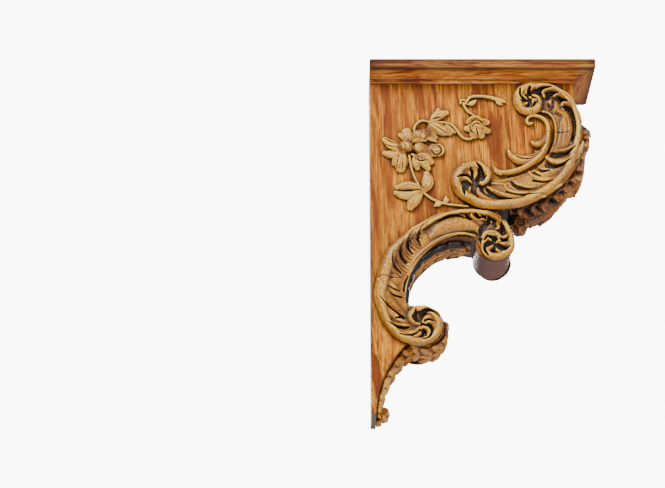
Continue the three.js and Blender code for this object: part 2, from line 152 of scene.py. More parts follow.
class Relief:
    """A height field over a flat sheet. edge is how far inside the piece a place is, below 0 outside."""

    def __init__(self, low, high, step=STEP):
        self.step = step
        self.low = np.array(low, float)
        count = np.ceil((np.array(high, float) - self.low) / step).astype(int) + 1
        xs = self.low[0] + step * np.arange(count[0])
        ys = self.low[1] + step * np.arange(count[1])
        self.x, self.y = np.meshgrid(xs, ys)
        self.h = np.zeros(self.x.shape)
        self.edge = np.full(self.x.shape, -9.0)
        self.shade_and_dirt = np.zeros(self.x.shape)

    def window(self, low, high):
        """The rows and columns that cover a rectangle of the sheet."""
        most = np.array([self.x.shape[1] - 1, self.x.shape[0] - 1])
        i0, j0 = np.clip(np.floor((low - self.low) / self.step).astype(int), 0, most)
        i1, j1 = np.clip(np.ceil((high - self.low) / self.step).astype(int) + 1, 1, most + 1)
        return slice(j0, max(j0 + 1, j1)), slice(i0, max(i0 + 1, i1))

    def near(self, path, reach):
        """For the places near a line: the share along it, and the distance to its right."""
        w = self.window(path.min(0) - reach, path.max(0) + reach)
        x, y = self.x[w], self.y[w]
        corner = np.array([x[0, 0], y[0, 0]])
        best = np.full(x.shape, 1e9)
        share = np.zeros(x.shape)
        across = np.full(x.shape, 1e9)
        steps = np.hypot(*np.diff(path, axis=0).T)
        done = np.concatenate([[0], np.cumsum(steps)])
        for k in range(len(path) - 1):
            a, b = path[k], path[k + 1]
            low, high = np.minimum(a, b) - reach, np.maximum(a, b) + reach
            first = np.maximum(0, ((low - corner) / self.step).astype(int))
            last = np.maximum(0, ((high - corner) / self.step).astype(int) + 2)
            s = (slice(first[1], last[1]), slice(first[0], last[0]))
            u = b - a
            px, py = x[s] - a[0], y[s] - a[1]
            q = np.clip((px * u[0] + py * u[1]) / max(1e-9, u @ u), 0, 1)
            dx, dy = px - q * u[0], py - q * u[1]
            d = np.hypot(dx, dy)
            nearer = d < best[s]
            best[s] = np.where(nearer, d, best[s])
            share[s] = np.where(nearer, (done[k] + q * steps[k]) / done[-1], share[s])
            across[s] = np.where(nearer, np.where(u[0] * py - u[1] * px > 0, d, -d), across[s])
        return w, share, across

    def stroke(self, points, width, height, lean=0.0, rise=0.55, fall=0.55, low=0.0, raw=False):
        """A raised round stroke. width and height run along it; its crest leans to the right by lean."""
        path = smooth(points if raw else sheet(points))
        along = np.linspace(0, 1, len(width))
        reach = max(width) / 2 + 2 * self.step
        w, share, across = self.near(path, reach)
        half = np.interp(share, along, np.array(width) / 2.0)
        u = np.clip(across / half, -1, 1)
        top = np.interp(share, np.linspace(0, 1, len(height)), height)
        off = np.clip(np.abs(u - lean) / np.where(u < lean, 1 + lean, 1 - lean), 0, 1)
        h = low + (top - low) * (1 - off ** 2.2) ** np.where(u < lean, rise, fall)
        inside = np.abs(across) < half
        self.h[w] = np.where(inside, np.maximum(self.h[w], h), self.h[w])
        self.edge[w] = np.maximum(self.edge[w], half - np.abs(across))

    def groove(self, points, width, depth, floor=0.8, raw=False):
        """A cut of the given depth, no lower than floor."""
        path = smooth(points if raw else sheet(points))
        reach = max(width) / 2 + 2 * self.step
        w, share, across = self.near(path, reach)
        half = np.interp(share, np.linspace(0, 1, len(width)), np.array(width) / 2.0)
        u = np.clip(np.abs(across) / half, 0, 1)
        cut = np.interp(share, np.linspace(0, 1, len(depth)), depth) * (1 - u ** 2) ** 0.7
        lowered = np.maximum(self.h[w] - cut, np.minimum(self.h[w], floor))
        self.h[w] = np.where(u < 1, lowered, self.h[w])

    def strokes(self, rows, **more):
        """Strokes that are alike, each row its points, widths and heights."""
        for points, width, height in rows:
            self.stroke(points, width, height, **more)

    def grooves(self, rows, floor):
        """Grooves that are alike, each row its points, widths and depths."""
        for points, width, depth in rows:
            self.groove(points, width, depth, floor)

    def smears(self, rows):
        """Smears, each row its points, width and amount."""
        for points, width, amount in rows:
            self.smear(points, width, amount)

    def smear(self, points, width, amount):
        """Painted shade and dark wax along a line."""
        w, _, across = self.near(smooth(sheet(points)), width / 2)
        self.shade_and_dirt[w] = np.maximum(self.shade_and_dirt[w], amount * np.clip(1 - (2 * across / width) ** 2, 0, 1) ** 0.5)

    def plate(self, points, height):
        """A flat plate inside a closed line."""
        path = smooth(sheet(points), 1.5)
        closed = np.vstack([path, path[:1]])
        w, _, across = self.near(closed, 4.0)
        inside = lies_inside(closed, self.x, self.y)
        distance = np.full(inside.shape, 9.0)
        distance[w] = np.minimum(np.abs(across), 9.0)
        signed = np.where(inside, np.minimum(distance, 4), -np.minimum(distance, 4))
        self.edge = np.maximum(self.edge, signed)
        self.h = np.where(inside, np.maximum(self.h, height), self.h)

    def finish(self, soften=0.35, rough=0.12):
        """Wear: soft edges, an uneven surface and small pits; then painted shade and dark wax in the hollows.
        """
        inside = self.edge > 0
        weight = blur(inside.astype(float), soften / self.step)
        softened = blur(np.where(inside, self.h, 0), soften / self.step) / np.maximum(weight, 1e-3)
        h = np.where(inside, softened, 0)
        grit = grain_noise(h.shape, 1.3) + grain_noise(h.shape, 2.6) + 1.3 * grain_noise(h.shape, 7)
        h = h + np.where(inside, rough * grit, 0)
        self.h = np.where(inside, np.maximum(h, 0.6), 0)
        # Painted shade and dark wax: how far a place lies under the crests round it, near and far, plus how
        # hollow it is.
        full = np.where(inside, self.h, 0)
        near = blur(highest(full, int(1.6 / self.step)), 0.8 / self.step) - full
        far = blur(highest(full, int(3.6 / self.step)), 1.8 / self.step) - full
        hollow = blur(full, 0.8 / self.step) - full
        shade_and_dirt = 0.055 * near + 0.038 * far + 0.22 * hollow
        self.shade_and_wax = np.clip(0.06 + shade_and_dirt * np.clip(self.edge / 3, 0.3, 1) + self.shade_and_dirt, 0, 1)
        return self


def make_mesh(name, verts, faces, attributes, material):
    """A smooth-shaded mesh object. attributes holds one value for each vertex."""
    mesh = bpy.data.meshes.new(name)
    mesh.vertices.add(len(verts))
    mesh.vertices.foreach_set("co", np.asarray(verts, np.float32).ravel())
    sizes = faces.shape[1]
    mesh.loops.add(faces.size)
    mesh.loops.foreach_set("vertex_index", faces.astype(np.int32).ravel())
    mesh.polygons.add(len(faces))
    mesh.polygons.foreach_set("loop_start", np.arange(0, faces.size, sizes, dtype=np.int32))
    mesh.polygons.foreach_set("use_smooth", np.full(len(faces), True))
    mesh.update(calc_edges=True)
    for key, values in attributes.items():
        mesh.attributes.new(key, "FLOAT", "POINT").data.foreach_set("value", np.asarray(values, np.float32))
    mesh.materials.append(material)
    piece = bpy.data.objects.new(name, mesh)
    bpy.context.scene.collection.objects.link(piece)
    return piece


def relief_piece(name, relief, place, flip, material, rim_shade=0.95):
    """A closed mesh of a relief: front, walls and flat back. place puts (x, y, height) in space."""
    inside = relief.edge > 0
    cell = inside[:-1, :-1] | inside[1:, :-1] | inside[:-1, 1:] | inside[1:, 1:]
    used = np.zeros(inside.shape, bool)
    used[:-1, :-1] |= cell
    used[1:, :-1] |= cell
    used[:-1, 1:] |= cell
    used[1:, 1:] |= cell
    # Places just outside move to the edge of the piece.
    shift = np.zeros(inside.shape + (2,))
    count = np.zeros(inside.shape)
    e = relief.edge
    for dj in (-1, 0, 1):
        for di in (-1, 0, 1):
            if not (di or dj):
                continue
            other = np.roll(np.roll(e, -dj, 0), -di, 1)
            ok = used & ~inside & (other > 0)
            share = np.clip(-e / np.maximum(other - e, 1e-6), 0, 0.9)
            weight = 1.0 if not (di and dj) else 0.25
            shift[..., 0] += np.where(ok, weight * share * di * relief.step, 0)
            shift[..., 1] += np.where(ok, weight * share * dj * relief.step, 0)
            count += np.where(ok, weight, 0)
    shift /= np.maximum(count, 1e-6)[..., None]
    x = (relief.x + shift[..., 0])[used]
    y = (relief.y + shift[..., 1])[used]
    h = np.where(inside, relief.h, 0)[used]
    number = np.full(inside.shape, -1)
    number[used] = np.arange(used.sum())
    j, i = np.nonzero(cell)
    quads = np.stack([number[j, i], number[j, i + 1], number[j + 1, i + 1], number[j + 1, i]], 1)
    rim = ~inside[used]
    back_number = np.arange(len(x), len(x) + (~rim).sum())
    back = np.arange(len(x))
    back[~rim] = back_number
    verts = np.vstack([place(x, y, h), place(x[~rim], y[~rim], np.zeros((~rim).sum()))])
    reversed_quads = back[quads[:, ::-1]]
    # The back is the same net, flat and seen from behind; on the rim it shares the front's points.
    faces = np.vstack([quads, reversed_quads])
    if flip:
        faces = faces[:, ::-1]
    # The walls take painted shade where they meet the oak, and the back is painted black.
    shade_and_wax = np.where(inside, relief.shade_and_wax, rim_shade)[used]
    attributes = {"shade_and_wax": np.concatenate([shade_and_wax, np.ones((~rim).sum())])}
    return make_mesh(name, verts, faces, attributes, material)


# Materials

# Oak from dark to light, on the body and on the cap.
BODY_TONES = (0.24, 0.052, 0.004), (0.735, 0.225, 0.010), (0.95, 0.41, 0.028)
CAP_TONES = (0.30, 0.058, 0.010), (0.92, 0.275, 0.030), (1.0, 0.45, 0.07)
# Dark wax with painted shade; then the purple of the rolls and the grey of the foot.
OLD_WAX_AND_SHADE = (0.035, 0.014, 0.006)
PURPLE_OAK = (0.13, 0.046, 0.030)
GREY_OAK = (0.11, 0.075, 0.052)
# The ornament's toning, from its ground colours to its worn crests with a painted highlight, and its hollows
# darkened by wax and painted shade.
TAN_DARK = (0.29, 0.084, 0.0045)
TAN = (0.545, 0.20, 0.0068)
TAN_LIGHT = (0.71, 0.30, 0.0135)
OCHRE = (0.78, 0.40, 0.026)
BLOTCH = (0.17, 0.075, 0.016)
SPECK = (0.07, 0.028, 0.007)
WORN_CREST_HIGHLIGHT = (0.90, 0.60, 0.11)
BROWN_HOLLOW_SHADE_AND_WAX = (0.16, 0.048, 0.004)
BLACK_HOLLOW_SHADE_AND_WAX = (0.014, 0.006, 0.003)


def nodes_of(name):
    """A new material and its shader."""
    material = bpy.data.materials.new(name)
    material.use_nodes = True
    return material, material.node_tree.nodes["Principled BSDF"]


class Nodes:
    """Short ways to add nodes."""

    def __init__(self, tree):
        self.tree = tree

    def add(self, kind, **settings):
        node = self.tree.nodes.new(kind)
        for key, value in settings.items():
            setattr(node, key, value)
        return node

    def link(self, a, b):
        self.tree.links.new(a, b)

    def place(self, scale, rotation=(0, 0, 0), offset=(0, 0, 0)):
        coord = self.add("ShaderNodeTexCoord")
        mapping = self.add("ShaderNodeMapping")
        mapping.inputs["Location"].default_value = offset
        mapping.inputs["Rotation"].default_value = rotation
        mapping.inputs["Scale"].default_value = scale
        self.link(coord.outputs["Object"], mapping.inputs["Vector"])
        return mapping.outputs["Vector"]

    def noise(self, vector, scale, detail=3.0, roughness=0.5, distortion=0.0):
        node = self.add("ShaderNodeTexNoise")
        node.inputs["Scale"].default_value = scale
        node.inputs["Detail"].default_value = detail
        node.inputs["Roughness"].default_value = roughness
        node.inputs["Distortion"].default_value = distortion
        self.link(vector, node.inputs["Vector"])
        return node.outputs["Fac"]

    def ramp(self, fac, stops):
        node = self.add("ShaderNodeValToRGB")
        ramp = node.color_ramp.elements
        while len(ramp) < len(stops):
            ramp.new(0.5)
        for element, (at, colour) in zip(ramp, stops):
            element.position = at
            element.color = (*colour, 1) if len(colour) == 3 else colour
        self.link(fac, node.inputs["Fac"])
        return node.outputs["Color"]

    def grey(self, fac, stops):
        return self.ramp(fac, [(at, (v, v, v)) for at, v in stops])

    def mix(self, fac, a, b, blend="MIX"):
        node = self.add("ShaderNodeMix", data_type="RGBA", blend_type=blend)
        for socket, value in ((node.inputs["Factor"], fac), (node.inputs["A"], a), (node.inputs["B"], b)):
            if isinstance(value, (int, float)):
                socket.default_value = value
            elif isinstance(value, tuple):
                socket.default_value = (*value, 1)
            else:
                self.link(value, socket)
        return node.outputs["Result"]

    def maths(self, operation, a, b=None):
        node = self.add("ShaderNodeMath", operation=operation)
        for socket, value in zip(node.inputs, (a, b)):
            if value is None:
                continue
            if isinstance(value, (int, float)):
                socket.default_value = value
            else:
                self.link(value, socket)
        return node.outputs[0]

    def attribute(self, name):
        return self.add("ShaderNodeAttribute", attribute_name=name).outputs["Fac"]

    def bump(self, height, strength, distance):
        node = self.add("ShaderNodeBump")
        node.inputs["Strength"].default_value = strength
        node.inputs["Distance"].default_value = distance
        self.link(height, node.inputs["Height"])
        return node.outputs["Normal"]


def oak(name, axis, dark, mid, light):
    """Varnished oak whose grain runs along axis 0, 1 or 2."""
    material, shader = nodes_of(name)
    n = Nodes(material.node_tree)

    def along(across_scale, share):
        scale = [across_scale] * 3
        scale[axis] = across_scale * share
        return n.place(tuple(scale))

    wander = n.noise(along(1, 0.35), 9.0, 2.0)
    # The grain leans a little, and wanders.
    lean = n.add("ShaderNodeSeparateXYZ")
    n.link(n.place((1, 1, 1)), lean.inputs[0])
    slant = n.add("ShaderNodeCombineXYZ")
    for i, socket in enumerate(list(slant.inputs)):
        part = n.maths("MULTIPLY", lean.outputs[axis], 0.045 if i == axis else 0.12)
        n.link(part if i == axis else n.maths("ADD", lean.outputs[i], part), socket)
    coord = slant.outputs[0]
    bent = n.add("ShaderNodeVectorMath", operation="ADD")
    spread = n.add("ShaderNodeVectorMath", operation="SCALE")
    spread.inputs["Scale"].default_value = 0.03
    combine = n.add("ShaderNodeCombineXYZ")
    for socket in list(combine.inputs):
        n.link(wander, socket)
    n.link(combine.outputs[0], spread.inputs[0])
    n.link(coord, bent.inputs[0])
    n.link(spread.outputs[0], bent.inputs[1])
    broad = n.noise(bent.outputs[0], 40.0, 2.0, 0.5, 0.4)
    middle = n.noise(bent.outputs[0], 100.0, 2.0, 0.55, 0.5)
    rings = n.noise(bent.outputs[0], 260.0, 4.0, 0.65, 0.3)
    tone = n.maths("ADD", n.maths("MULTIPLY", broad, 0.36), n.maths("MULTIPLY", middle, 0.40))
    tone = n.maths("ADD", tone, n.maths("MULTIPLY", rings, 0.24))
    base = n.ramp(tone, [(0.41, dark), (0.46, mid), (0.51, light), (0.54, mid), (0.58, dark)])
    streaks = n.noise(along(1, 0.02), 620.0, 2.0, 0.6)
    base = n.mix(n.grey(streaks, [(0.42, 0.55), (0.55, 0.0)]), base, tuple(0.55 * c for c in dark))
    pores = n.noise(along(1, 0.05), 1500.0, 1.0, 0.5)
    pore_mask = n.grey(pores, [(0.36, 0.8), (0.42, 0.0)])
    base = n.mix(pore_mask, base, tuple(0.3 * c for c in dark))
    patches = n.noise(n.place((1, 1, 1)), 16.0, 4.0, 0.6)
    base = n.mix(n.grey(patches, [(0.44, 0.0), (0.66, 0.5)]), base, tuple(0.9 * c for c in dark))
    bands = n.noise(along(1, 0.10), 34.0, 3.0, 0.6, 0.6)
    base = n.mix(n.grey(bands, [(0.52, 0.0), (0.60, 0.6), (0.66, 0.1)]), base, tuple(1.1 * c for c in dark))
    specks = n.noise(n.place((1, 1, 1)), 950.0, 2.0, 0.6)
    base = n.mix(n.grey(specks, [(0.62, 0.0), (0.68, 0.7)]), base, tuple(0.25 * c for c in dark))
    if axis == 2:
        # End grain on the top: growth rings round a heart outside the board, crossed by fine pores.
        facing = n.add("ShaderNodeSeparateXYZ")
        n.link(n.add("ShaderNodeNewGeometry").outputs["Normal"], facing.inputs[0])
        wave = n.add("ShaderNodeTexWave", wave_type="RINGS", rings_direction="Z")
        wave.inputs["Scale"].default_value = 85
        wave.inputs["Distortion"].default_value = 2.5
        wave.inputs["Detail"].default_value = 2.0
        wave.inputs["Detail Scale"].default_value = 0.8
        n.link(n.place((1, 1, 1), offset=(-0.05, -0.1, 0)), wave.inputs["Vector"])
        ends = n.ramp(wave.outputs["Fac"], [(0.05, dark), (0.4, tuple(0.6 * c for c in mid)),
                                            (1.0, tuple(0.8 * c for c in mid))])
        ends = n.mix(n.grey(specks, [(0.5, 0.0), (0.6, 0.7)]), ends, tuple(0.4 * c for c in dark))
        base = n.mix(n.grey(facing.outputs[2], [(0.9, 0.0), (0.96, 1.0)]), base, ends)
    # Dark wax and painted shade from the mesh: in the creases, under the cap, roll and arch, and round the
    # ornament.
    stain_and_shade = n.attribute("stain_and_shade")
    base = n.mix(n.maths("MULTIPLY", stain_and_shade, 0.92), base, OLD_WAX_AND_SHADE)
    purple = n.attribute("purple")
    base = n.mix(n.maths("MULTIPLY", purple, 0.85), base, PURPLE_OAK)
    grey = n.attribute("grey")
    base = n.mix(grey, base, GREY_OAK)
    n.link(base, shader.inputs["Base Color"])
    rough = n.noise(n.place((1, 1, 1)), 180.0, 3.0)
    n.link(n.grey(rough, [(0.3, 0.3), (0.7, 0.48)]), shader.inputs["Roughness"])
    relief = n.maths("ADD", n.maths("MULTIPLY", streaks, 0.5), n.maths("MULTIPLY", pores, 0.8))
    n.link(n.bump(relief, 0.35, 0.0006), shader.inputs["Normal"])
    shader.inputs["Specular IOR Level"].default_value = 0.25
    shader.inputs["Coat Weight"].default_value = 0.08
    shader.inputs["Coat Roughness"].default_value = 0.2
    return material


def cast(name, shift=0.0, tint=(1, 1, 1)):
    """Cast ornament toned like carved wood: ochre and tan, dark wax and painted shade in the hollows, worn
    crests with a painted highlight.
    """
    material, shader = nodes_of(name)
    n = Nodes(material.node_tree)
    shade_and_wax = n.attribute("shade_and_wax")
    flat = n.place((1, 1, 1), offset=(0.3 * shift, 0, 0))
    mottle = n.noise(flat, 95.0, 4.0, 0.6)
    patch = n.noise(flat, 28.0, 2.0)
    tan = n.ramp(patch, [(0.38, TAN_DARK), (0.5, TAN), (0.62, TAN_LIGHT)])
    tan = n.mix(n.grey(mottle, [(0.42, 0.0), (0.68, 0.6)]), tan, OCHRE)
    tan = n.mix(n.grey(n.noise(flat, 420.0, 3.0, 0.6), [(0.50, 0.0), (0.64, 0.7)]), tan, BLOTCH)
    tan = n.mix(n.grey(n.noise(flat, 1300.0, 2.0, 0.6), [(0.56, 0.0), (0.66, 0.6)]), tan, SPECK)
    level = n.maths("ADD", shade_and_wax, n.maths("MULTIPLY", n.maths("SUBTRACT", mottle, 0.5), 0.14))
    # Painted highlight on the worn crests, painted shade with dark wax down into the hollows.
    highlight_and_shade = n.mix(n.grey(level, [(0.0, 0.8), (0.085, 0.0)]), tan, WORN_CREST_HIGHLIGHT)
    highlight_and_shade = n.mix(n.grey(level, [(0.08, 0.0), (0.22, 0.88)]), highlight_and_shade, BROWN_HOLLOW_SHADE_AND_WAX)
    highlight_and_shade = n.mix(n.grey(level, [(0.22, 0.0), (0.42, 1.0)]), highlight_and_shade, BLACK_HOLLOW_SHADE_AND_WAX)
    highlight_and_shade = n.mix(1.0, highlight_and_shade, tint, "MULTIPLY")
    n.link(highlight_and_shade, shader.inputs["Base Color"])
    n.link(n.grey(n.noise(flat, 240.0, 3.0), [(0.3, 0.24), (0.7, 0.46)]), shader.inputs["Roughness"])
    n.link(n.bump(n.noise(flat, 500.0, 5.0, 0.7), 0.6, 0.0009), shader.inputs["Normal"])
    shader.inputs["Specular IOR Level"].default_value = 0.35
    shader.inputs["Coat Weight"].default_value = 0.15
    shader.inputs["Coat Roughness"].default_value = 0.2
    return material


body_oak = oak("BodyOak", 2, *BODY_TONES)
side_oak = oak("CapOakSide", 0, *CAP_TONES)
front_oak = oak("CapOakFront", 1, *CAP_TONES)
cast_side = cast("CastSide")
cast_leaf = cast("CastLeaf", 1.0, (0.84, 0.68, 0.7))


# Side ornament

def spiral(centre, knots):
    """A spiral through (angle, radius) knots, in sheet units; angles grow clockwise."""
    angles, radii = np.array(knots, float).T
    way = np.sign(angles[-1] - angles[0])
    a = np.arange(angles[0], angles[-1] + way * 1e-6, way * 6.0)
    r = np.interp(a * way, angles * way, radii)
    return around(centre, r, np.radians(a))


def inset(path, distance):
    """The line moved to the right of its own way by distance, which may vary along it."""
    d = np.gradient(path, axis=0)
    d /= np.maximum(np.hypot(*d.T), 1e-9)[:, None]
    return path + np.stack([-d[:, 1], d[:, 0]], 1) * np.asarray(distance).reshape(-1, 1)


def rim(relief, outer, widths, heights, side, lean=-0.3):
    """The smooth outer band of a scroll, just inside its outer edge."""
    at = np.linspace(0, 1, len(outer))
    width = np.interp(at, np.linspace(0, 1, len(widths)), widths)
    path = inset(outer, side * width / 2)
    relief.stroke(sheet(path), list(SHEET * width), heights, lean=lean * side, rise=0.42, fall=0.42, raw=True)


def sunk_disc(r, centre, across):
    """The round sunk ground of a volute."""
    r.groove([centre, (centre[0] + 1, centre[1])], [across, across], [2.2, 2.2], 0.8)


def build_upper_scroll():
    """The C-scroll round the belly."""
    r = Relief((76, 14), (214, 156))
    # the ground of the band and the discs of the volutes
    outer_arc = [(531, 88), (548, 90), (560, 97), (568.5, 105), (575, 117), (578, 130), (578, 143),
                 (575, 158), (568, 175), (559, 188), (547, 199), (533, 207), (515, 214), (495, 216),
                 (476, 213), (462, 205), (455, 195), (452, 183), (460, 171), (476, 169), (487, 178),
                 (492, 186), (505, 184.5), (520, 180), (533, 173), (543, 162), (549, 148), (551, 135),
                 (549, 122), (541, 116), (520, 113), (518, 96)]
    r.plate(outer_arc, 2.4)
    top_hub, low_hub = (526.9, 105.4), (473.6, 186.8)
    sunk_disc(r, top_hub, 19)
    sunk_disc(r, low_hub, 27)
    # the outer band with its two volutes
    top = spiral(top_hub, [(-446, 6.8), (-417, 10.8), (-390, 13.8), (-357, 15.1), (-316, 15.0), (-266, 14.2),
                                  (-167, 13.7), (-113, 16.6), (-73, 20.2)])
    rim_points = [(545.5, 86.9), (556.5, 90.9), (568, 102.4), (574.9, 113.9), (578.7, 127.6), (579, 140),
                  (577, 152), (574.6, 160), (569.3, 175.4), (560.4, 188), (549.6, 197.7), (533.6, 207.5),
                  (515.7, 214.8), (493, 217), (476.4, 215.4), (463, 208.5)]
    low = spiral(low_hub, [(118, 24.0), (185, 23.5), (234, 21.6), (292, 20), (325, 19.0), (347, 17.1),
                                  (376, 13.5), (416, 8.3)])
    outer = np.vstack([top, smooth(rim_points, 3.0), low[1:]])
    rim(r, outer, [5, 8, 9.5, 9.5, 9, 7, 4, 4.6, 6, 9, 11.5, 11.5, 10.5, 10, 10, 10, 10, 10.5, 10.5, 10,
                   8.5, 5.5], [6.5, 8, 8.6, 8.8, 9, 8.6, 8.8, 9, 9, 8.6, 8.4, 8], 1, lean=0.1)
    # crescents along the top, each with a hooked head
    r.strokes([
        ([(556, 93), (545, 89.5), (536, 89.5), (528, 92.5), (523.5, 97)], [2.1, 4.2, 5.6, 6.3, 3.5],
         [8.8, 9.2, 9.0, 8.4, 6.6]),
        ([(570, 105), (563, 98.5), (555, 94), (547, 92.5), (541.5, 95), (542, 100)],
         [2.1, 4.2, 5.6, 6.4, 6.4, 4.2], [8.8, 9.2, 9.0, 8.6, 7.8, 6.4]),
        ([(574, 115), (569, 107.5), (563, 101.5), (556, 98.5), (551.5, 100)], [2.1, 4.2, 5.3, 5.9, 3.6],
         [8.8, 9.2, 9.0, 8.2, 6.6]),
        ([(577, 127), (573.5, 117), (568.5, 110.5), (562.5, 107.5), (559, 109), (561, 113)],
         [2.1, 4.8, 6.2, 6.2, 5.6, 3.4], [8.8, 9.2, 8.8, 8.2, 7.2, 6.2]),
    ], lean=0.25)
    # the hollow ground panel between the band and the rib
    # painted shade and wax over the hollow panel
    r.smear([(546, 103), (554, 112), (558, 124), (558, 138), (553, 152)], 24, 0.06)
    r.stroke([(549, 106), (555, 112), (559, 124), (560, 138), (557, 150), (549, 157)],
             [10, 15, 19, 20, 18, 8], [4.6, 4.4, 4.2, 4.4, 5.0, 4.4], rise=0.3, fall=0.3)
    r.groove([(551, 104), (549, 112), (546, 108)], [3.5, 4.5, 3], [2.4, 2.8, 2], 1.2)
    r.groove([(553, 117), (558, 121), (556, 126)], [4, 5, 3], [1.6, 2.0, 1], 1.8)
    for path in ([(553, 112), (556, 128), (554, 148)], [(560, 116), (564, 130), (562, 147)],
                 [(557, 122), (559, 136), (557, 152)]):
        r.groove(path, [1, 2.2, 1], [0.4, 0.9, 0.4], 1.5)
    r.groove([(562, 110.5), (566, 115), (569.5, 122), (570.5, 131), (569.5, 139), (566.5, 147)],
             [2.0, 2.0, 2.0, 2.8, 2.4, 1.2], [2, 3, 4, 6, 5, 2], 0.9)
    r.stroke([(572, 139), (571, 147), (566, 153), (558, 156), (549, 156)], [2.5, 4, 5, 5, 3],
             [8, 7.6, 6.8, 6, 4.6], lean=-0.2)
    # the rounded body of the lower band, from which the lobes are cut
    r.stroke([(571, 148), (566, 162), (556, 175), (542, 185), (527, 192), (511, 197), (497, 199), (486, 197)],
             [10, 19, 23, 24, 24, 22, 18, 10], [4.6, 5, 5.2, 5.2, 5.2, 5, 4.8, 4.4], lean=-0.35, low=2.6)
    # the crescent lobes of the lower right, from the top down
    r.strokes([
        ([(578, 148), (573, 158), (565, 164.5), (556, 167.5), (548, 167), (543, 163.5), (542.5, 160)],
         [2.3, 6.9, 9.2, 9.9, 9.2, 6.9, 3.4], [8.4, 8, 7.6, 7.2, 7, 6.6, 5]),
        ([(574, 162), (565, 171), (555, 177), (546, 179), (540, 176)], [1.7, 3.4, 4.1, 3.9, 2.3],
         [8, 7, 6.2, 5.6, 4.6]),
        ([(568, 172), (558, 181), (547, 185.5), (536, 185.5), (528, 182), (525.5, 178.5)],
         [2.3, 6.9, 8, 7.6, 5.8, 3], [8.2, 7.6, 7, 6.4, 6, 4.8]),
        ([(560, 184), (549, 190), (538, 192), (530, 190)], [1.7, 3.4, 3.9, 2.3], [7.6, 6.4, 5.6, 4.8]),
        ([(556, 192), (543, 197), (528, 199.5), (514, 199.5), (505, 197), (502, 193), (504, 190.5)],
         [2.3, 6.9, 8, 7.6, 6.4, 5.3, 3], [8.2, 7.4, 6.8, 6.4, 6.2, 5.8, 4.8]),
        ([(540, 204), (522, 205.5), (505, 203), (492, 197.5), (485, 194)], [2.3, 5.8, 8, 6.9, 3],
         [7.8, 7, 6.6, 6.2, 4.8]),
        ([(512, 190), (500, 190.5), (489, 189.5)], [3.4, 5.8, 3.4], [4.4, 4.6, 4.0]),
    ], lean=-0.25)
    r.grooves([
        ([(570, 153), (563, 158.8), (555, 161), (548, 160)], [1, 2.6, 4.2, 4.6], [3, 6, 8, 7]),
        ([(566, 165.5), (558, 170.5), (550, 173.2), (543, 172)], [0.8, 2.2, 4.0, 5.5], [2, 6, 8, 8]),
        ([(548, 187.8), (538, 189.0), (529, 187.6)], [0.8, 1.8, 2.6], [2, 5, 6]),
        ([(533, 195), (524, 196.5), (513, 194), (508, 189)], [1.2, 3.4, 5, 4], [1, 3, 4, 3.5]),
        ([(541, 201.5), (527, 202.2), (513, 202), (503, 199.2)], [0.6, 1.1, 1.5, 1.8], [1, 3, 4, 4]),
        ([(508, 207.3), (500, 206), (494, 203.8), (488, 200.5), (484, 196.5)], [0.8, 1.4, 2.6, 4.2, 3.4],
         [2, 5, 8, 8, 7]),
        ([(545, 176.5), (538, 177.5), (533, 174)], [1.5, 3.8, 3], [3, 6, 5]),
        ([(536, 183), (530, 179)], [1.4, 3.0], [3, 4]),
    ], 0.9)
    # the rib with its small curl
    rib = [(529.6, 127), (527, 128.5), (524.8, 126.5), (525.2, 122.5), (529, 119.8), (535, 120.2),
           (541, 123.5), (544.6, 129.5), (545, 138), (543.6, 148), (539.5, 157.5), (533.5, 164.5),
           (526, 170.5), (516.5, 175.8), (506, 178.6), (497.5, 178.2), (492, 174)]
    r.stroke(rib, [3, 3.4, 3.6, 4, 4.6, 5.4, 6.4, 7.2, 7.2, 6.6, 6, 5.8, 5.6, 5.8, 5.6, 4.4, 2],
             [4.5, 5, 5.4, 6, 6.6, 7, 7.4, 7.6, 7.6, 7.4, 7.2, 7, 7, 6.8, 6.4, 5.4, 4], lean=0.15)
    r.groove([(541, 119), (546, 124), (549.2, 132), (549.4, 142), (547, 152), (542, 161), (534, 168.5)],
             [1.2, 1.8, 2.0, 2.0, 1.8, 1.6, 1.2], [3, 5, 5, 5, 5, 4, 3], 1.2)
    r.stroke([(540, 115.5), (546.5, 118), (551, 125), (552.4, 136), (551, 147), (546.5, 158)],
             [2, 2.6, 2.4, 2.2, 2.2, 1.4], [6.4, 6.2, 6, 5.8, 5.6, 5])
    # the leaves that spring from the rib
    r.stroke([(543, 140), (541, 145.5), (536.5, 148.5), (531.5, 149), (529.5, 147)], [5, 7.6, 8.6, 7.6, 4.4],
             [6.4, 6, 5.6, 5.6, 4.4], lean=-0.15)
    r.groove([(542, 149), (537.5, 153.5), (532, 155)], [1, 2.4, 2.4], [2, 4, 4], 0.9)
    r.stroke([(541, 151), (537, 156), (531.5, 157.2)], [3, 3.4, 1.6], [5.6, 4.6, 3.4])
    r.stroke([(542, 152), (536, 161), (527, 165.5), (517, 165.5), (509.5, 161.5), (506.3, 156.5)],
             [6, 9.6, 12, 12.4, 9.6, 4], [6.4, 6.4, 6.2, 6, 5.4, 4], lean=-0.15)
    r.groove([(538, 157.5), (529, 162), (520, 161), (512.5, 157.5)], [0.8, 1.5, 1.6, 1], [1, 1.8, 1.8, 1.2],
             1.8)
    r.groove([(533, 162.5), (524, 165.2), (516, 163.6), (510.5, 159)], [0.8, 1.8, 2.0, 1.4],
             [1, 2.2, 2.6, 1.8], 1.5)
    r.stroke([(498, 180), (493.5, 177.5), (491.5, 172.5)], [4, 4, 1.8], [5, 4.6, 3.4])
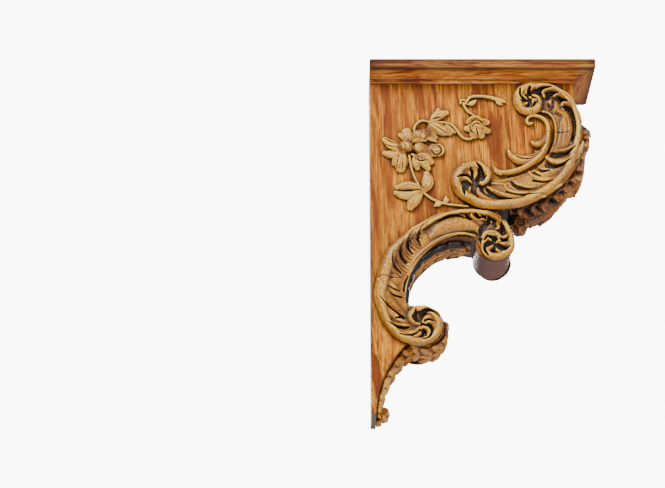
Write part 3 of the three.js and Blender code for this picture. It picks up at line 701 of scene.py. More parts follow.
    # the blades of the top volute
    r.strokes([
        ([(519.5, 109.5), (521.5, 108.5), (525, 106.5), (524.5, 104.5)], [4, 5.6, 3.8, 2.2],
         [7, 6.4, 5.4, 4.6]),
        ([(536.5, 110), (536, 105.5), (533.5, 103.3), (531, 104.5), (529.8, 108)], [4.7, 5.6, 5.6, 4.9, 3.1],
         [7.4, 7, 6.6, 6, 4.8]),
        ([(527.5, 117), (529, 112.5), (528.5, 109.5)], [5.3, 4.7, 2.9], [7, 6, 4.8]),
        ([(521, 93), (521.5, 98), (525, 102.5)], [3.8, 4.7, 2.9], [7, 6, 4.6]),
    ])
    r.grooves([
        ([(518.8, 92), (518.6, 98.5), (521.5, 102), (526, 104.5)], [1.6, 2.2, 2.6, 2.6], [5, 7, 8, 8]),
        ([(519, 104.5), (523, 103.8)], [1.6, 2.4], [4, 6]),
        ([(521, 110.8), (525, 111.6), (528.4, 108.5), (528, 103.5)], [1.4, 2.4, 3.0, 3.4], [5, 7, 8, 8]),
        ([(528.2, 91), (527, 95.5), (530, 100), (534, 102.2)], [3, 3.6, 2, 1.6], [7, 8, 5, 4]),
        ([(535.2, 103.5), (535.4, 107)], [1.2, 1.2], [3, 3]),
        ([(549, 90.6), (541, 91.6), (536, 94.8), (536.5, 98)], [1.2, 3.0, 5.2, 3], [6, 8, 8, 8]),
        ([(549.5, 97), (546, 98.2), (546.5, 102)], [1.8, 4.6, 2.4], [6, 8, 6]),
        ([(563.5, 104.6), (558.5, 103.0), (556.5, 100.8)], [1.2, 2.2, 1.6], [6, 7, 5]),
        ([(566, 115), (562, 112.8), (559.8, 111.2)], [1.6, 2.8, 2.0], [7, 8, 6]),
    ], 0.8)
    # the blades of the lower left volute
    r.strokes([
        ([(497, 210), (488, 208.5), (481, 205), (476.5, 200.5), (476, 195.5)], [2.9, 6.4, 8, 7.8, 3.8],
         [8, 7.6, 7.2, 6.6, 5]),
        ([(486, 211.5), (477, 208.5), (470.5, 204.5), (467.2, 199.5), (468.5, 194.5)],
         [2.9, 5.8, 6.6, 6.6, 3.1], [8, 7.6, 7.2, 6.6, 5]),
        ([(470, 208), (461.5, 202), (457.5, 195.5), (457.5, 189.5), (461, 185.5), (466, 185.5), (469.5, 189)],
         [2.9, 5.8, 6.4, 6.4, 6.6, 6, 3.1], [8, 7.6, 7.2, 7, 6.6, 6, 4.8]),
        ([(453, 190), (455, 183), (459, 178.5), (464.5, 177.5), (469, 180.5), (470.5, 184.5)],
         [4.2, 9.4, 11.5, 10.6, 7.2, 3.1], [8, 7.6, 7.2, 6.8, 6, 4.8]),
        ([(462, 171.5), (469, 172.5), (473.2, 176), (473.8, 181), (471.8, 185.5)], [4.2, 6.6, 6.6, 5.8, 2.9],
         [8, 7.4, 7, 6.2, 4.8]),
    ])
    r.grooves([
        ([(475, 170), (478.4, 175), (479, 181), (477, 186), (472.5, 188.5)], [1.6, 4, 5.4, 5, 3.4],
         [6, 8, 8, 8, 8]),
        ([(484, 183), (480.5, 188)], [1.2, 2.6], [3, 6]),
        ([(469, 174.5), (470, 180), (471, 186)], [1.2, 2.2, 2.6], [5, 7, 8]),
        ([(456.5, 184.8), (461, 182.2), (467, 182.8), (471, 187.5)], [1.4, 2.4, 2.6, 3], [5, 7, 7, 8]),
        ([(462.6, 203), (462.2, 196.5), (464.8, 191.5), (468.5, 190.5)], [1.2, 4, 4.6, 3], [5, 8, 8, 7]),
        ([(476, 206.5), (472.6, 201.5), (471.8, 196), (473, 190)], [0.9, 2.8, 4.2, 4.4], [5, 8, 8, 8]),
        ([(482, 200.5), (480.2, 197.5), (477.5, 193.5)], [1.6, 3, 3], [6, 8, 7]),
    ], 0.8)
    # the crack
    crack(r, [(541.5, 137), (547, 137.8), (553, 137.3), (560, 137.6), (566, 136.2)])
    return r.finish()


def crack(r, points):
    """A fine crack with a ragged course."""
    path = smooth(sheet(points), 1.0)
    path[:, 1] += 0.25 * noise_source.standard_normal(len(path))
    r.groove(path, [0.7, 0.9, 0.8], [1.6, 2.2, 1.6], 0.7, raw=True)


def build_lower_scroll():
    """The C-scroll round the arch."""
    r = Relief((0, 148), (146, 298))
    outer_arc = [(500, 232), (504, 246), (502, 260), (490, 265), (479, 259), (472, 246), (463, 242.5),
                 (452, 242.3), (440, 246.5), (428, 254), (417, 264), (408.5, 276), (405, 288), (404.5, 300),
                 (407, 312), (424, 313.5), (437, 320), (438.5, 334), (430, 347), (415, 352), (400, 348),
                 (388, 338), (380, 322), (376, 306), (377, 290), (381, 276), (387, 262), (396, 250),
                 (409, 238), (424, 229), (442, 221), (460, 218), (477, 219.5), (491, 224)]
    r.plate(outer_arc, 2.4)
    top_hub, low_hub = (490.5, 252.9), (421.4, 333.4)
    sunk_disc(r, top_hub, 22)
    sunk_disc(r, low_hub, 25)
    top = spiral(top_hub, [(312, 8.8), (284, 12.4), (250, 14.0), (215, 14.4), (178, 14.6), (137, 14.8),
                                  (90, 14.8), (46, 15.6), (18, 17.6), (-10, 19.2)])
    rim_points = [(508.6, 243.5), (506, 236.5), (501.4, 230.6), (491.5, 222.7), (478.6, 218.3),
                  (463.8, 217), (450, 218.8), (434.2, 224.2), (420.3, 232.6), (404.5, 241.5),
                  (392.7, 251.4), (384.8, 264.2), (379.8, 279), (376.2, 293.9), (375.2, 306), (377.4, 316),
                  (381.6, 327.6), (388.2, 338.3), (398.1, 347), (411.4, 352.6)]
    low = spiral(low_hub, [(108, 20.6), (75, 18.7), (38, 18.6), (-7, 18.8), (-45, 19.1), (-84, 20.8),
                                  (-114, 20.4), (-139, 18.2), (-158, 14.6), (-171, 9.6)])
    outer = np.vstack([top, smooth(rim_points, 3.0), low])
    rim(r, outer, [3, 5.5, 7, 8, 7.5, 6, 6, 6, 5.5, 4.6, 5, 6, 9, 11.5, 13.5, 14, 13, 10.5, 8.5, 8, 8.5,
                   8.5, 8.5, 8, 6, 3], [6.5, 8, 8.6, 8.8, 9, 8.6, 8.8, 9, 9, 8.6, 8.4, 8], -1, lean=0.1)
    # the rounded body of the band, from which the feathers are cut
    r.stroke([(474, 228), (457, 231), (441, 235), (428, 242), (416, 252), (406, 264), (398, 278),
              (393.5, 293), (393, 307), (397, 320), (405, 331), (414, 340)],
             [14, 22, 24, 24, 25, 25, 26, 27, 27, 24, 20, 12], [4.6, 5.2, 5.4, 5.4, 5.4, 5.4, 5.4, 5.4, 5.4,
                                                                5.2, 5, 4.6], lean=0.45, low=2.6)
    # small hooked leaves near the upper volute
    r.strokes([
        ([(504, 236), (500.5, 230.5), (496, 228.5), (493.5, 231.5), (494.5, 235.5), (490.5, 238)],
         [2, 4, 5, 5, 4.6, 2.4], [8.6, 8, 7.4, 7, 6.4, 5]),
        ([(497, 226), (490, 222.5), (484.5, 223), (484.5, 227), (488, 230)], [2, 4, 4.4, 4, 2.4],
         [8.6, 8, 7, 6.4, 5]),
        ([(489, 221.5), (480, 219.8), (476, 222), (479, 226.5), (483, 228)], [2, 3.6, 4, 4, 2.4],
         [8.6, 8, 7, 6.4, 5]),
        ([(478, 219.5), (470, 219.8), (469, 223.5), (473, 227.5)], [2, 4, 4.6, 3], [8.4, 7.8, 7, 6]),
    ])
    # the smooth convex panel
    r.stroke([(478, 240), (470, 234.5), (460, 232.5), (449, 233.5), (438, 238), (430, 245)],
             [5, 13, 17.5, 18.5, 16.5, 7], [6, 7.2, 7.8, 8, 7.8, 6.4], rise=0.45, fall=0.45)
    # crescent lobes down the inner side
    r.strokes([
        ([(456, 221.5), (444, 223), (433, 227.5), (425, 234), (421.5, 240), (424.5, 245.5), (428, 246)],
         [2, 5.4, 8.1, 9.5, 8.1, 6.8, 3.5], [8, 8, 7.8, 7.4, 7, 6.4, 5]),
        ([(436, 225.5), (424, 232.5), (416.5, 241), (413.5, 250), (416, 257), (420.5, 259.5)],
         [2, 6.8, 8.6, 8.9, 7.6, 3.2], [8, 8, 7.8, 7.4, 6.6, 4.8]),
        ([(423, 231.5), (411, 241.5), (405, 251.5), (405, 260), (409.5, 265.5)], [2.7, 8.1, 9.5, 8.1, 3.2],
         [8, 8, 7.8, 7, 4.8]),
        ([(411, 240.5), (401, 251.5), (397.5, 262), (400.5, 270), (406.5, 274.5)], [2.7, 8.6, 10, 7.6, 3],
         [8, 8, 7.8, 7, 4.8]),
        ([(400, 250), (391.5, 261.5), (390, 271.5), (394.5, 279), (401.5, 283)], [2.7, 8.6, 10, 7.6, 3],
         [8, 8, 7.8, 7, 4.8]),
        ([(383, 284), (389, 290), (396, 296), (401, 301.5)], [4.1, 10.8, 8.1, 2.7], [7.4, 6.8, 6.4, 4.6]),
        ([(380, 288), (386, 301), (394, 311.5), (400.5, 318), (404, 323)], [4.1, 13.5, 13.5, 8.1, 2.7],
         [8, 7.2, 7, 6.4, 4.4]),
        ([(379, 304), (385, 314), (392.5, 321.5), (401, 327), (410, 330)], [2.7, 8.8, 10.8, 9.5, 3.2],
         [8.2, 7.6, 7.2, 6.6, 4.6]),
        ([(381, 318), (388, 327.5), (397, 332), (407, 333), (414, 331.5)], [2.7, 6.8, 7.6, 5.9, 2.7],
         [8.2, 7.6, 7.2, 6.4, 4.6]),
        ([(387, 330), (395, 337), (404.5, 340), (413, 339), (418.5, 334.5)], [2.7, 7.6, 8.1, 6.8, 3.2],
         [8.2, 7.6, 7, 6.4, 5]),
    ], lean=0.25)
    # painted brown shade and wax in the feathers of the inner side
    r.smears([
        ([(426, 236), (419, 244), (416, 254)], 9, 0.09), ([(414, 246), (407, 257), (405, 267)], 12, 0.13),
        ([(404, 258), (399, 270), (401, 281)], 13, 0.13), ([(402, 286), (400, 297), (403, 306)], 11, 0.10),
        ([(392, 306), (399, 316), (405, 325)], 9, 0.09), ([(394, 331), (404, 336), (412, 335)], 8, 0.10),
        ([(497, 227), (489, 224), (484, 228), (479, 237)], 9, 0.12),
        ([(476, 238), (462, 234), (447, 236), (433, 244)], 15, 0.035),
    ])
    for k in range(15):
        x, y = 421.5 - 1.35 * k, 240 + 3.1 * k
        r.groove([(x - 6.5, y - 4), (x - 3.4, y + 1), (x + 1.2, y + 4)], [0.6, 1.2, 1.0], [0.5, 1.3, 1.0],
                 2.0)
    # the raised lip along the arch
    lip = [(472, 243.5), (463, 241.5), (452, 242), (440, 246), (428, 253.8), (417, 264), (408.5, 276)]
    r.stroke(lip, [1.6, 2.2, 2.4, 2.4, 2.4, 2, 1.2], [6, 6.6, 6.6, 6.4, 6, 5.4, 4.4])
    r.grooves([
        ([(468, 227.8), (460, 224.6), (451, 223.6), (444, 226), (437, 229.4)], [1.4, 1.6, 2.0, 2.8, 1.4],
         [6, 7, 7, 8, 4]),
        ([(463.5, 223), (467.8, 227.2)], [2.0, 2.8], [7, 8]),
        ([(472.5, 221.5), (475.5, 225), (479.5, 225.5)], [1.6, 3.0, 1.6], [6, 8, 5]),
        ([(485, 225), (485, 230), (481.5, 234), (477, 239)], [1.6, 4.6, 6, 5], [5, 8, 8, 7]),
        ([(497, 231), (499, 238), (496.5, 243), (499, 247)], [1.6, 3.8, 4.4, 2], [5, 8, 8, 6]),
        ([(488, 238.6), (494, 240)], [2.6, 3.2], [5, 7]),
        ([(423.5, 232.5), (419, 240), (417.8, 248), (420.5, 254.5)], [0.7, 1.7, 2.5, 1.8],
         [1.3, 2.5, 3.4, 2.5]),
        ([(425.5, 240.5), (427, 244)], [1, 1], [1.3, 1.3]),
        ([(413, 239), (408.5, 248), (408.2, 256), (412, 262.5)], [0.7, 1.8, 2.8, 2.4], [1.3, 2.5, 3.4, 2.9]),
        ([(404.5, 248), (401, 258), (402.2, 266), (406.5, 271.5)], [0.7, 1.7, 2.7, 2.5],
         [1.3, 2.5, 3.4, 2.9]),
        ([(395, 259), (393.2, 268), (395.8, 275.5), (401, 281)], [0.6, 1.5, 2.1, 2], [1.3, 2.5, 2.9, 2.5]),
        ([(408, 284), (405.2, 291), (403.8, 299)], [1.8, 2.5, 2.2], [3, 3.5, 3.5]),
        ([(389.5, 294.5), (395, 297.5), (400, 299.5)], [0.7, 1.7, 1.4], [1.5, 3, 2.5]),
        ([(390, 300), (395, 303.6), (401.5, 305.5)], [0.9, 2.5, 2.2], [2, 3.5, 3.5]),
        ([(381, 305), (386.2, 311.5), (392, 317), (398.5, 322), (403, 326.5)], [0.6, 1.6, 1.9, 2.2, 3.7],
         [1.8, 3.6, 3.6, 4.2, 4.8]),
        ([(396, 326.5), (401.5, 325)], [1.9, 4], [3.6, 4.8]),
        ([(388.5, 330.5), (394, 333.6), (401, 335.6), (408, 335.4)], [0.7, 2.1, 3.4, 1.6],
         [2.4, 4.2, 4.8, 3]),
        ([(399.5, 342.5), (407.5, 343.6), (415.5, 341.2)], [1.2, 2.0, 1.4], [4, 6, 4]),
        ([(470, 244), (475.5, 247.5)], [2, 3], [4, 5]),
    ], 0.9)
    # blades of the upper volute
    r.strokes([
        ([(479, 250.5), (482.5, 247), (487.5, 248)], [3.8, 5.5, 2.8], [7, 6.4, 4.8]),
        ([(483.5, 262), (484.8, 257.2), (489, 253.5)], [4.1, 6.4, 3], [7, 6.6, 4.8]),
        ([(498, 262.5), (493.5, 259), (491.2, 254.5)], [4.1, 6.4, 3], [7, 6.6, 4.8]),
        ([(506, 250), (501, 252.2), (495, 250.8)], [4.7, 6.6, 3], [7.4, 6.6, 4.8]),
        ([(505, 241), (501, 244.8), (495.5, 245.5)], [4.1, 5.3, 3], [7.4, 6.6, 4.8]),
        ([(479, 246), (482, 241.8), (488, 240.6), (493.5, 243), (495.5, 247.5), (492.5, 250.5)],
         [4.1, 6.4, 7, 7, 6.4, 3.4], [8, 8, 7.6, 7.2, 6.6, 5]),
    ])
    r.grooves([
        ([(480.5, 249), (484, 244.6), (488.6, 245.6), (490, 249)], [1.2, 2, 2.8, 3.4], [5, 7, 8, 8]),
        ([(484, 264), (480.8, 258), (482, 252.5), (487, 250.8)], [1.2, 3, 3.8, 4], [5, 8, 8, 8]),
        ([(489.5, 259), (490.6, 254.5)], [1.8, 3.4], [6, 8]),
        ([(504.5, 254.8), (500, 258), (495.5, 256.8), (492.5, 253.2)], [1.4, 3.4, 4.2, 4.2], [5, 8, 8, 8]),
        ([(504.2, 246), (499.5, 247.8), (496, 247)], [1.0, 2.2, 2.2], [5, 7, 7]),
    ], 0.8)
    # blades of the lower volute
    r.strokes([
        ([(437, 338), (436, 330), (431.5, 325.5), (425.5, 325.3), (421.5, 329.5)], [4.1, 8.3, 9.1, 7.7, 3.6],
         [8, 7.8, 7.2, 6.4, 5]),
        ([(433.5, 344), (434, 337), (431, 331), (426.5, 329.5), (423, 331.5)], [4.1, 7.4, 7.7, 5.5, 2.8],
         [8, 7.6, 7, 6, 4.8]),
        ([(424, 348), (427, 342.5), (426.5, 337.5), (422.5, 335), (418.5, 336.5)], [4.1, 6.4, 6.4, 5.8, 2.8],
         [8, 7.4, 6.8, 6, 4.8]),
        ([(412, 345.5), (417, 343), (420, 338.5)], [4.1, 6.1, 2.8], [7.8, 7, 5.2]),
        ([(409, 320), (408.8, 326), (412.5, 331), (418, 332)], [2.5, 8, 7, 3.4], [7, 7.6, 7, 5.4]),
    ])
    r.grooves([
        ([(437, 325.5), (432.5, 320.5), (426, 318.4), (421, 321), (418.8, 326.5)], [1.2, 2.6, 4.6, 5, 3.4],
         [5, 8, 8, 8, 8]),
        ([(414.8, 318), (414.2, 324), (417, 328.6)], [1.4, 3.4, 3.4], [5, 8, 8]),
        ([(423, 328.2), (427.5, 327.4), (430.5, 329.4)], [1.8, 1.8, 1.0], [6, 5, 3]),
        ([(420.5, 347.6), (426.5, 345.8), (429.8, 340), (427.8, 334.5), (422.5, 332.5)],
         [1.0, 1.8, 2.6, 3.2, 2.4], [4, 6, 8, 8, 7]),
        ([(421.6, 339.5), (418.2, 338.2)], [1.8, 1.8], [6, 5]),
    ], 0.8)
    crack(r, [(378.5, 285.3), (385, 284.8), (392, 285.6), (399, 286), (404, 284.6)])
    return r.finish()


def leaf(r, root, tip, width, height, bend=0.0, rib=0.8, end=0.42):
    """A spray leaf from root to tip, bent sideways, with a sunk midrib. end is how broad its tip is."""
    a, b = np.array(root, float), np.array(tip, float)
    b = b - (b - a) / np.hypot(*(b - a)) * 0.42 * end * width
    side = np.array([-(b - a)[1], (b - a)[0]])
    middle = (a + b) / 2 + bend * side
    quarter = 0.5 * (a + middle) + 0.18 * bend * side
    threeq = 0.5 * (b + middle) + 0.18 * bend * side
    points = [a, quarter, middle, threeq, b]
    w = [0.3 * width, 0.8 * width, width, 0.92 * width, end * width]
    r.stroke(points, w, [0.75 * height, height, height, 0.92 * height, 0.72 * height], rise=0.42, fall=0.42)
    if rib:
        r.groove([a, quarter, middle, threeq], [0.9, 1.5, 1.4, 0.8], [rib] * 3, 1.0)


def build_spray():
    """The trailing spray with its flowers, leaves and tendrils."""
    r = Relief((2, 24), (144, 156))
    stem = [(466, 213.2), (456, 212), (447, 210.8), (440, 209), (432, 205.5), (425.5, 200.5), (421.5, 195.5)]
    r.stroke(stem, [2.2, 2.6, 2.8, 2.8, 3, 3, 3], [2.4, 2.6, 2.8, 3, 3.2, 3.4, 3.6])
    r.stroke([(421.5, 195.5), (417, 187), (413.5, 178), (411.5, 169), (410.5, 161)], [2.6] * 5,
             [3.4, 3.4, 3.6, 3.8, 4])
    leaf(r, (422.5, 199.5), (409, 216.5), 12.5, 4.8, 0.08, 0.4, 0.6)
    leaf(r, (421.5, 195), (396, 193.5), 9.5, 4.4, 0.12, 0.4, 0.55)
    leaf(r, (421.5, 197), (395, 199.5), 10, 4.8, -0.16, 0, 0.6)
    r.groove([(420, 196.2), (408, 197.8), (396, 197)], [1.2, 1.8, 1.0], [1.8, 2.6, 1.4], 0.8)
    leaf(r, (424.5, 198), (427.5, 177), 12.5, 5, 0.1, 0, 0.55)
    r.groove([(427, 197), (432, 189), (430.5, 181)], [0.8, 1.2, 0.8], [1, 1.6, 1], 1)
    leaf(r, (441.5, 210), (433.5, 213), 6.2, 4, 0.1, 0.4)
    leaf(r, (443, 209.5), (445.5, 202), 4.2, 3.6, 0.1, 0)
    leaf(r, (446, 209.5), (447.5, 204.5), 3, 3.2, 0, 0)
    # the open flower
    leaf(r, (409, 150), (408, 132), 14, 3.8, 0.1, 0.5, 0.7)
    leaf(r, (412, 149), (400.5, 137.5), 9, 3.4, 0.1, 0.4, 0.6)
    leaf(r, (404, 153), (384.5, 143), 9.6, 5.2, -0.1, 0.5, 0.62)
    r.groove([(399, 149.6), (392, 146.4), (386, 142.6)], [1.4, 2.2, 1.2], [2.4, 2.8, 1.5], 0.9)
    r.groove([(400, 153.4), (392, 151.6), (386, 149.2)], [0.9, 1.3, 0.9], [1.6, 2, 1.2], 1.2)
    leaf(r, (403, 156), (384.5, 158.5), 9.6, 5, -0.14, 0.5, 0.62)
    r.groove([(398, 157), (391, 156), (385, 154.6)], [1.4, 2.2, 1.4], [3.2, 3.4, 2], 0.9)
    leaf(r, (405, 158), (401.5, 178), 16, 5.4, 0.08, 0.6, 0.62)
    leaf(r, (403, 160), (394.5, 171), 8, 4.6, 0.1, 0.4, 0.6)
    for line in ([(401, 161), (399, 168), (397.5, 174)], [(404.5, 163), (404, 170), (403.5, 176)],
                 [(408, 161), (408.5, 168), (407.5, 173)]):
        r.groove(line, [0.8, 1.3, 0.8], [1.2, 1.8, 1.0], 1.4)
    r.stroke([(405.5, 151.5), (409.5, 151.5)], [11.5, 11.5], [7, 7], rise=0.5, fall=0.5)
    r.groove([(402, 147.5), (406.5, 151.5), (406, 157)], [0.8, 1.2, 0.8], [1.2, 1.6, 1.2], 3)
    r.groove([(408, 146.5), (411, 151), (410.5, 156)], [0.7, 1.1, 0.7], [1.0, 1.4, 1.0], 3)
    leaf(r, (414.5, 153.5), (429.5, 154.5), 13.5, 6, -0.06, 0, 0.8)
    r.groove([(416, 156.5), (421.5, 159), (427.5, 157.5), (428.5, 152.5)], [0.9, 1.3, 1.3, 0.9],
             [1.6, 2, 2, 1.4], 2)
    r.groove([(416.5, 150), (421, 148.3), (426.5, 149.6)], [0.9, 1.3, 0.9], [1.6, 2, 1.4], 2)
    leaf(r, (413, 147.5), (427.5, 145.5), 5, 4.4, -0.12, 0.4)
    r.stroke([(434, 155.5), (438.5, 155.2)], [13.6, 13.6], [5.2, 5.2], rise=0.3, fall=0.3)
    r.groove([(433, 151.5), (437, 150.4), (441.2, 154.5), (440.2, 159), (435.2, 160.4), (431.6, 156.5)],
             [1.4, 2, 2, 2, 2, 1.4], [1, 2.4, 2.4, 2.4, 2.4, 1], 1.6)
    r.stroke([(435, 155.8), (438, 155.4)], [6.5, 6.5], [6, 6])
    leaf(r, (413, 159.5), (430, 163), 6, 4.8, 0.14, 0.5)
    leaf(r, (418, 161), (434, 168.5), 10, 5.2, -0.14, 0.6, 0.65)
    leaf(r, (418, 162), (430, 176), 10, 5, -0.06, 0.6, 0.65)
    leaf(r, (416.5, 161), (418.5, 176), 9, 4.8, 0.06, 0.6, 0.65)
    r.groove([(416, 164.5), (421.5, 166.8), (428.5, 165.8)], [0.8, 1.6, 0.8], [1.6, 2.8, 1.4], 0.9)
    # painted shade and wax round the flowers, the bud and the leaf bases
    r.smears([
        ([(401, 150), (403, 157), (409, 158.5)], 6, 0.10), ([(412, 148), (415, 157)], 5, 0.12),
        ([(429.5, 150), (430.5, 158)], 5, 0.10), ([(417, 162), (424, 165)], 5, 0.10),
        ([(421, 133), (427, 131), (429, 138)], 9, 0.16), ([(422, 197), (426, 194)], 6, 0.08),
        ([(473, 126), (478, 128), (482, 127)], 6, 0.10),
    ])
    # the upper leaves, the arched stem and the round bud below it
    r.stroke([(430, 126), (424, 124.6), (418.5, 127.5), (415.6, 133), (416.6, 140)],
             [2.4, 2.6, 2.8, 2.8, 2.4], [4, 4.2, 4.2, 4, 3.4])
    r.stroke([(421, 139), (426, 137.5)], [13, 11.5], [4.6, 4.6], rise=0.45, fall=0.45)
    r.groove([(418.5, 133), (423, 130.2), (428, 131.5)], [2.4, 3.6, 2.4], [3.4, 4, 3], 0.8)
    leaf(r, (421.5, 144), (427.5, 133.5), 7, 5.4, 0.1, 0.4)
    leaf(r, (424, 143), (438, 146.5), 5.5, 3.6, -0.12, 0.4)
    leaf(r, (430.5, 126), (440, 111.5), 8.5, 4.8, 0.14, 0.5, 0.5)
    leaf(r, (431.5, 125.5), (449, 115), 10.5, 4.6, -0.12, 0.6, 0.55)
    r.groove([(434, 123.5), (438.5, 121.4), (441, 121.6)], [1.2, 2.4, 1.2], [2, 3, 1.4], 0.9)
    leaf(r, (431, 126.5), (452.5, 138), 13, 5, 0.08, 0.6, 0.6)
    r.groove([(437, 131), (443, 135.5), (449, 138.5)], [0.7, 1.1, 0.7], [1, 1.5, 1], 1.4)
    r.groove([(438, 127.5), (445, 130), (451, 134)], [0.7, 1.1, 0.7], [1, 1.5, 1], 1.4)
    leaf(r, (430.5, 127.5), (437, 143.5), 9, 4.2, 0.12, 0.5, 0.55)
    leaf(r, (446, 128.5), (455.5, 137.5), 6.5, 4.2, 0.1, 0.5)
    r.stroke([(432, 125.6), (441, 126.2), (449.5, 127.8), (454.5, 131.5), (458.5, 137.5), (463, 142.6),
              (469, 143.8), (474, 141)], [2.2, 2.4, 2.8, 3, 3, 3, 2.8, 2.4],
             [3.8, 4, 4.2, 4.2, 4.2, 4.2, 4, 3.8])
    # the rosebud and its tendril
    leaf(r, (476, 128), (472.5, 143), 13, 5.6, -0.1, 0.5, 0.75)
    leaf(r, (478, 129), (481, 143), 11, 5.6, 0.14, 0.5, 0.75)
    leaf(r, (478, 129), (489, 136.5), 9, 5, 0.16, 0.5, 0.7)
    leaf(r, (479.5, 129), (488.5, 125), 9.5, 5, -0.2, 0.6, 0.7)
    leaf(r, (474, 128), (464, 134), 9.5, 4.8, -0.2, 0.5, 0.7)
    leaf(r, (474, 125.5), (465.5, 126), 7, 5, 0.2, 0.4, 0.7)
    r.stroke([(475.5, 128.5), (478, 130.5)], [12, 11], [6.8, 6.6], rise=0.5, fall=0.5)
    r.stroke([(468.5, 124.5), (472, 121.6), (477, 121.6), (481, 124.6)], [2.6, 3.6, 3.6, 2.6],
             [5.6, 6.2, 6.2, 5.6])
    for line in ([(470, 127), (474, 124.8), (479, 125.8), (482, 129)],
                 [(471.5, 131), (476, 128.4), (480.5, 131.5)], [(475.4, 133.5), (476.6, 138), (477.6, 142)],
                 [(469, 130), (470, 134.5), (472.5, 138)]):
        r.groove(line, [0.9, 1.6, 0.9], [1.8, 3, 1.4], 1)
    r.stroke([(478, 123.5), (472.5, 118.5), (467.5, 114.5), (464.5, 109.5), (463.5, 106)],
             [2.4, 2.8, 2.8, 2.8, 2.8], [4.2, 4, 4, 4, 4])
    r.stroke([(460.8, 106.6), (461.4, 103.4), (465, 103), (466.2, 106), (463.4, 108.2)],
             [2.6, 2.8, 2.8, 2.8, 2.4], [4.2] * 3)
    leaf(r, (467.5, 107.5), (476.5, 102.8), 5.4, 4.6, 0.1, 0)
    r.stroke([(467.5, 103.5), (470.5, 99.8), (478.5, 98.6), (488, 99.6), (495, 101.6), (500.5, 104.6)],
             [3, 3.4, 3.4, 3.4, 4.4, 3.4], [4, 4.2, 4, 4, 4, 3.4])
    leaf(r, (496, 101.8), (505, 105.5), 4, 3.4, -0.1, 0)
    leaf(r, (495, 102.5), (501.5, 108), 3.8, 3.2, 0.1, 0)
    leaf(r, (492, 100.5), (499, 99.8), 2.6, 3, 0, 0)
    # The whole spray a little lighter, so more of it takes the painted crest highlight.
    r.shade_and_dirt -= 0.018
    return r.finish(0.3, 0.1)


def on_side(side):
    """Puts a relief on a flat side face: side is -1 for the left and 1 for the right."""
    def place(x, y, h):
        return np.stack([x, side * (HALF_WIDTH + GLUE + h), TOP - y], 1) * MM
    return place


# Leaves on the round faces

def on_axis(centre, radius, angle, y):
    """Places in space round an axis that runs across the bracket."""
    return np.stack([centre[0] + radius * np.cos(angle), y, TOP - centre[1] - radius * np.sin(angle)], 1) * MM


def on_round(centre, sign):
    """Wraps a relief round an arc: sign is 1 outside it and -1 in its hollow."""
    def place(x, y, h):
        return on_axis(centre, centre[2] + sign * (ROUND_GLUE + h), x / centre[2], y)
    return place


def mirrored(r, points, width, height, **more):
    """A stroke and its mirror image across the middle line."""
    for side in (1, -1):
        r.stroke(np.asarray(points, float) * [1, side], width, height, raw=True, **more)


def mirrored_cut(r, points, width, depth, floor):
    """A groove and its mirror image across the middle line."""
    for side in (1, -1):
        r.groove(np.asarray(points, float) * [1, side], width, depth, floor, raw=True)


def running_leaf(r, start, end, half, height, pitch, lean, crest, drill):
    """Acanthus along x: a midrib, pairs of lobes that sweep forward, drilled eyes between them. half and
    crest give its half width and the share of its height, for the share of the way along it."""
    count = max(1, int(round(abs(end - start) / pitch)))
    way = math.copysign(1, end - start)
    line = np.linspace(start, end, 3 * count + 1)
    t = np.linspace(0, 1, len(line))
    wide = np.array([half(v) for v in t])
    tall = np.array([height * crest(v) for v in t])
    ground = list(1.72 * wide)
    r.stroke(np.stack([line, 0 * line], 1), ground, list(0.42 * tall), rise=0.25, fall=0.25, raw=True)
    for k in range(count + 1):
        v = (k + 0.2) / (count + 0.4)
        x = start + (end - start) * v
        w, hgt = half(v), height * crest(v)
        big = 1.0 if k % 2 == 0 else 0.86
        sweep = lean * way
        mirrored(r, [(x - 0.2 * sweep, 0.12 * w), (x + 0.25 * sweep, 0.42 * w), (x + 0.7 * sweep, 0.72 * w),
                     (x + 1.15 * sweep, 0.96 * w * big)],
                 [0.35 * pitch, 0.86 * pitch, 1.02 * pitch, 0.5 * pitch],
                 [0.8 * hgt, 0.92 * hgt, hgt, 0.82 * hgt], rise=0.5, fall=0.5)
        mirrored_cut(r, [(x + 0.1 * sweep + 0.05 * pitch, 0.25 * w), (x + 0.5 * sweep, 0.55 * w),
                         (x + 0.98 * sweep, 0.9 * w * big)], [0.6, 1.3, 0.8], [0.8, 1.6, 1.0], 1.2)
        eye = x + 0.52 * pitch * way
        mirrored_cut(r, [(eye + 0.62 * sweep, 0.60 * w), (eye + 0.95 * sweep, 0.86 * w)],
                     [drill, 0.8 * drill], [9, 9], 0.8)
    r.stroke(np.stack([line, 0 * line], 1), list(np.maximum(0.22 * wide, 2.6)), list(0.98 * tall), raw=True)
    r.groove(np.stack([line, 0 * line], 1), [0.8, 1.4, 0.8], [0.9, 1.2, 0.9], 1.2, raw=True)


def angle_mm(centre, angle):
    """The length of an arc of so many degrees."""
    return centre[2] * math.radians(angle)


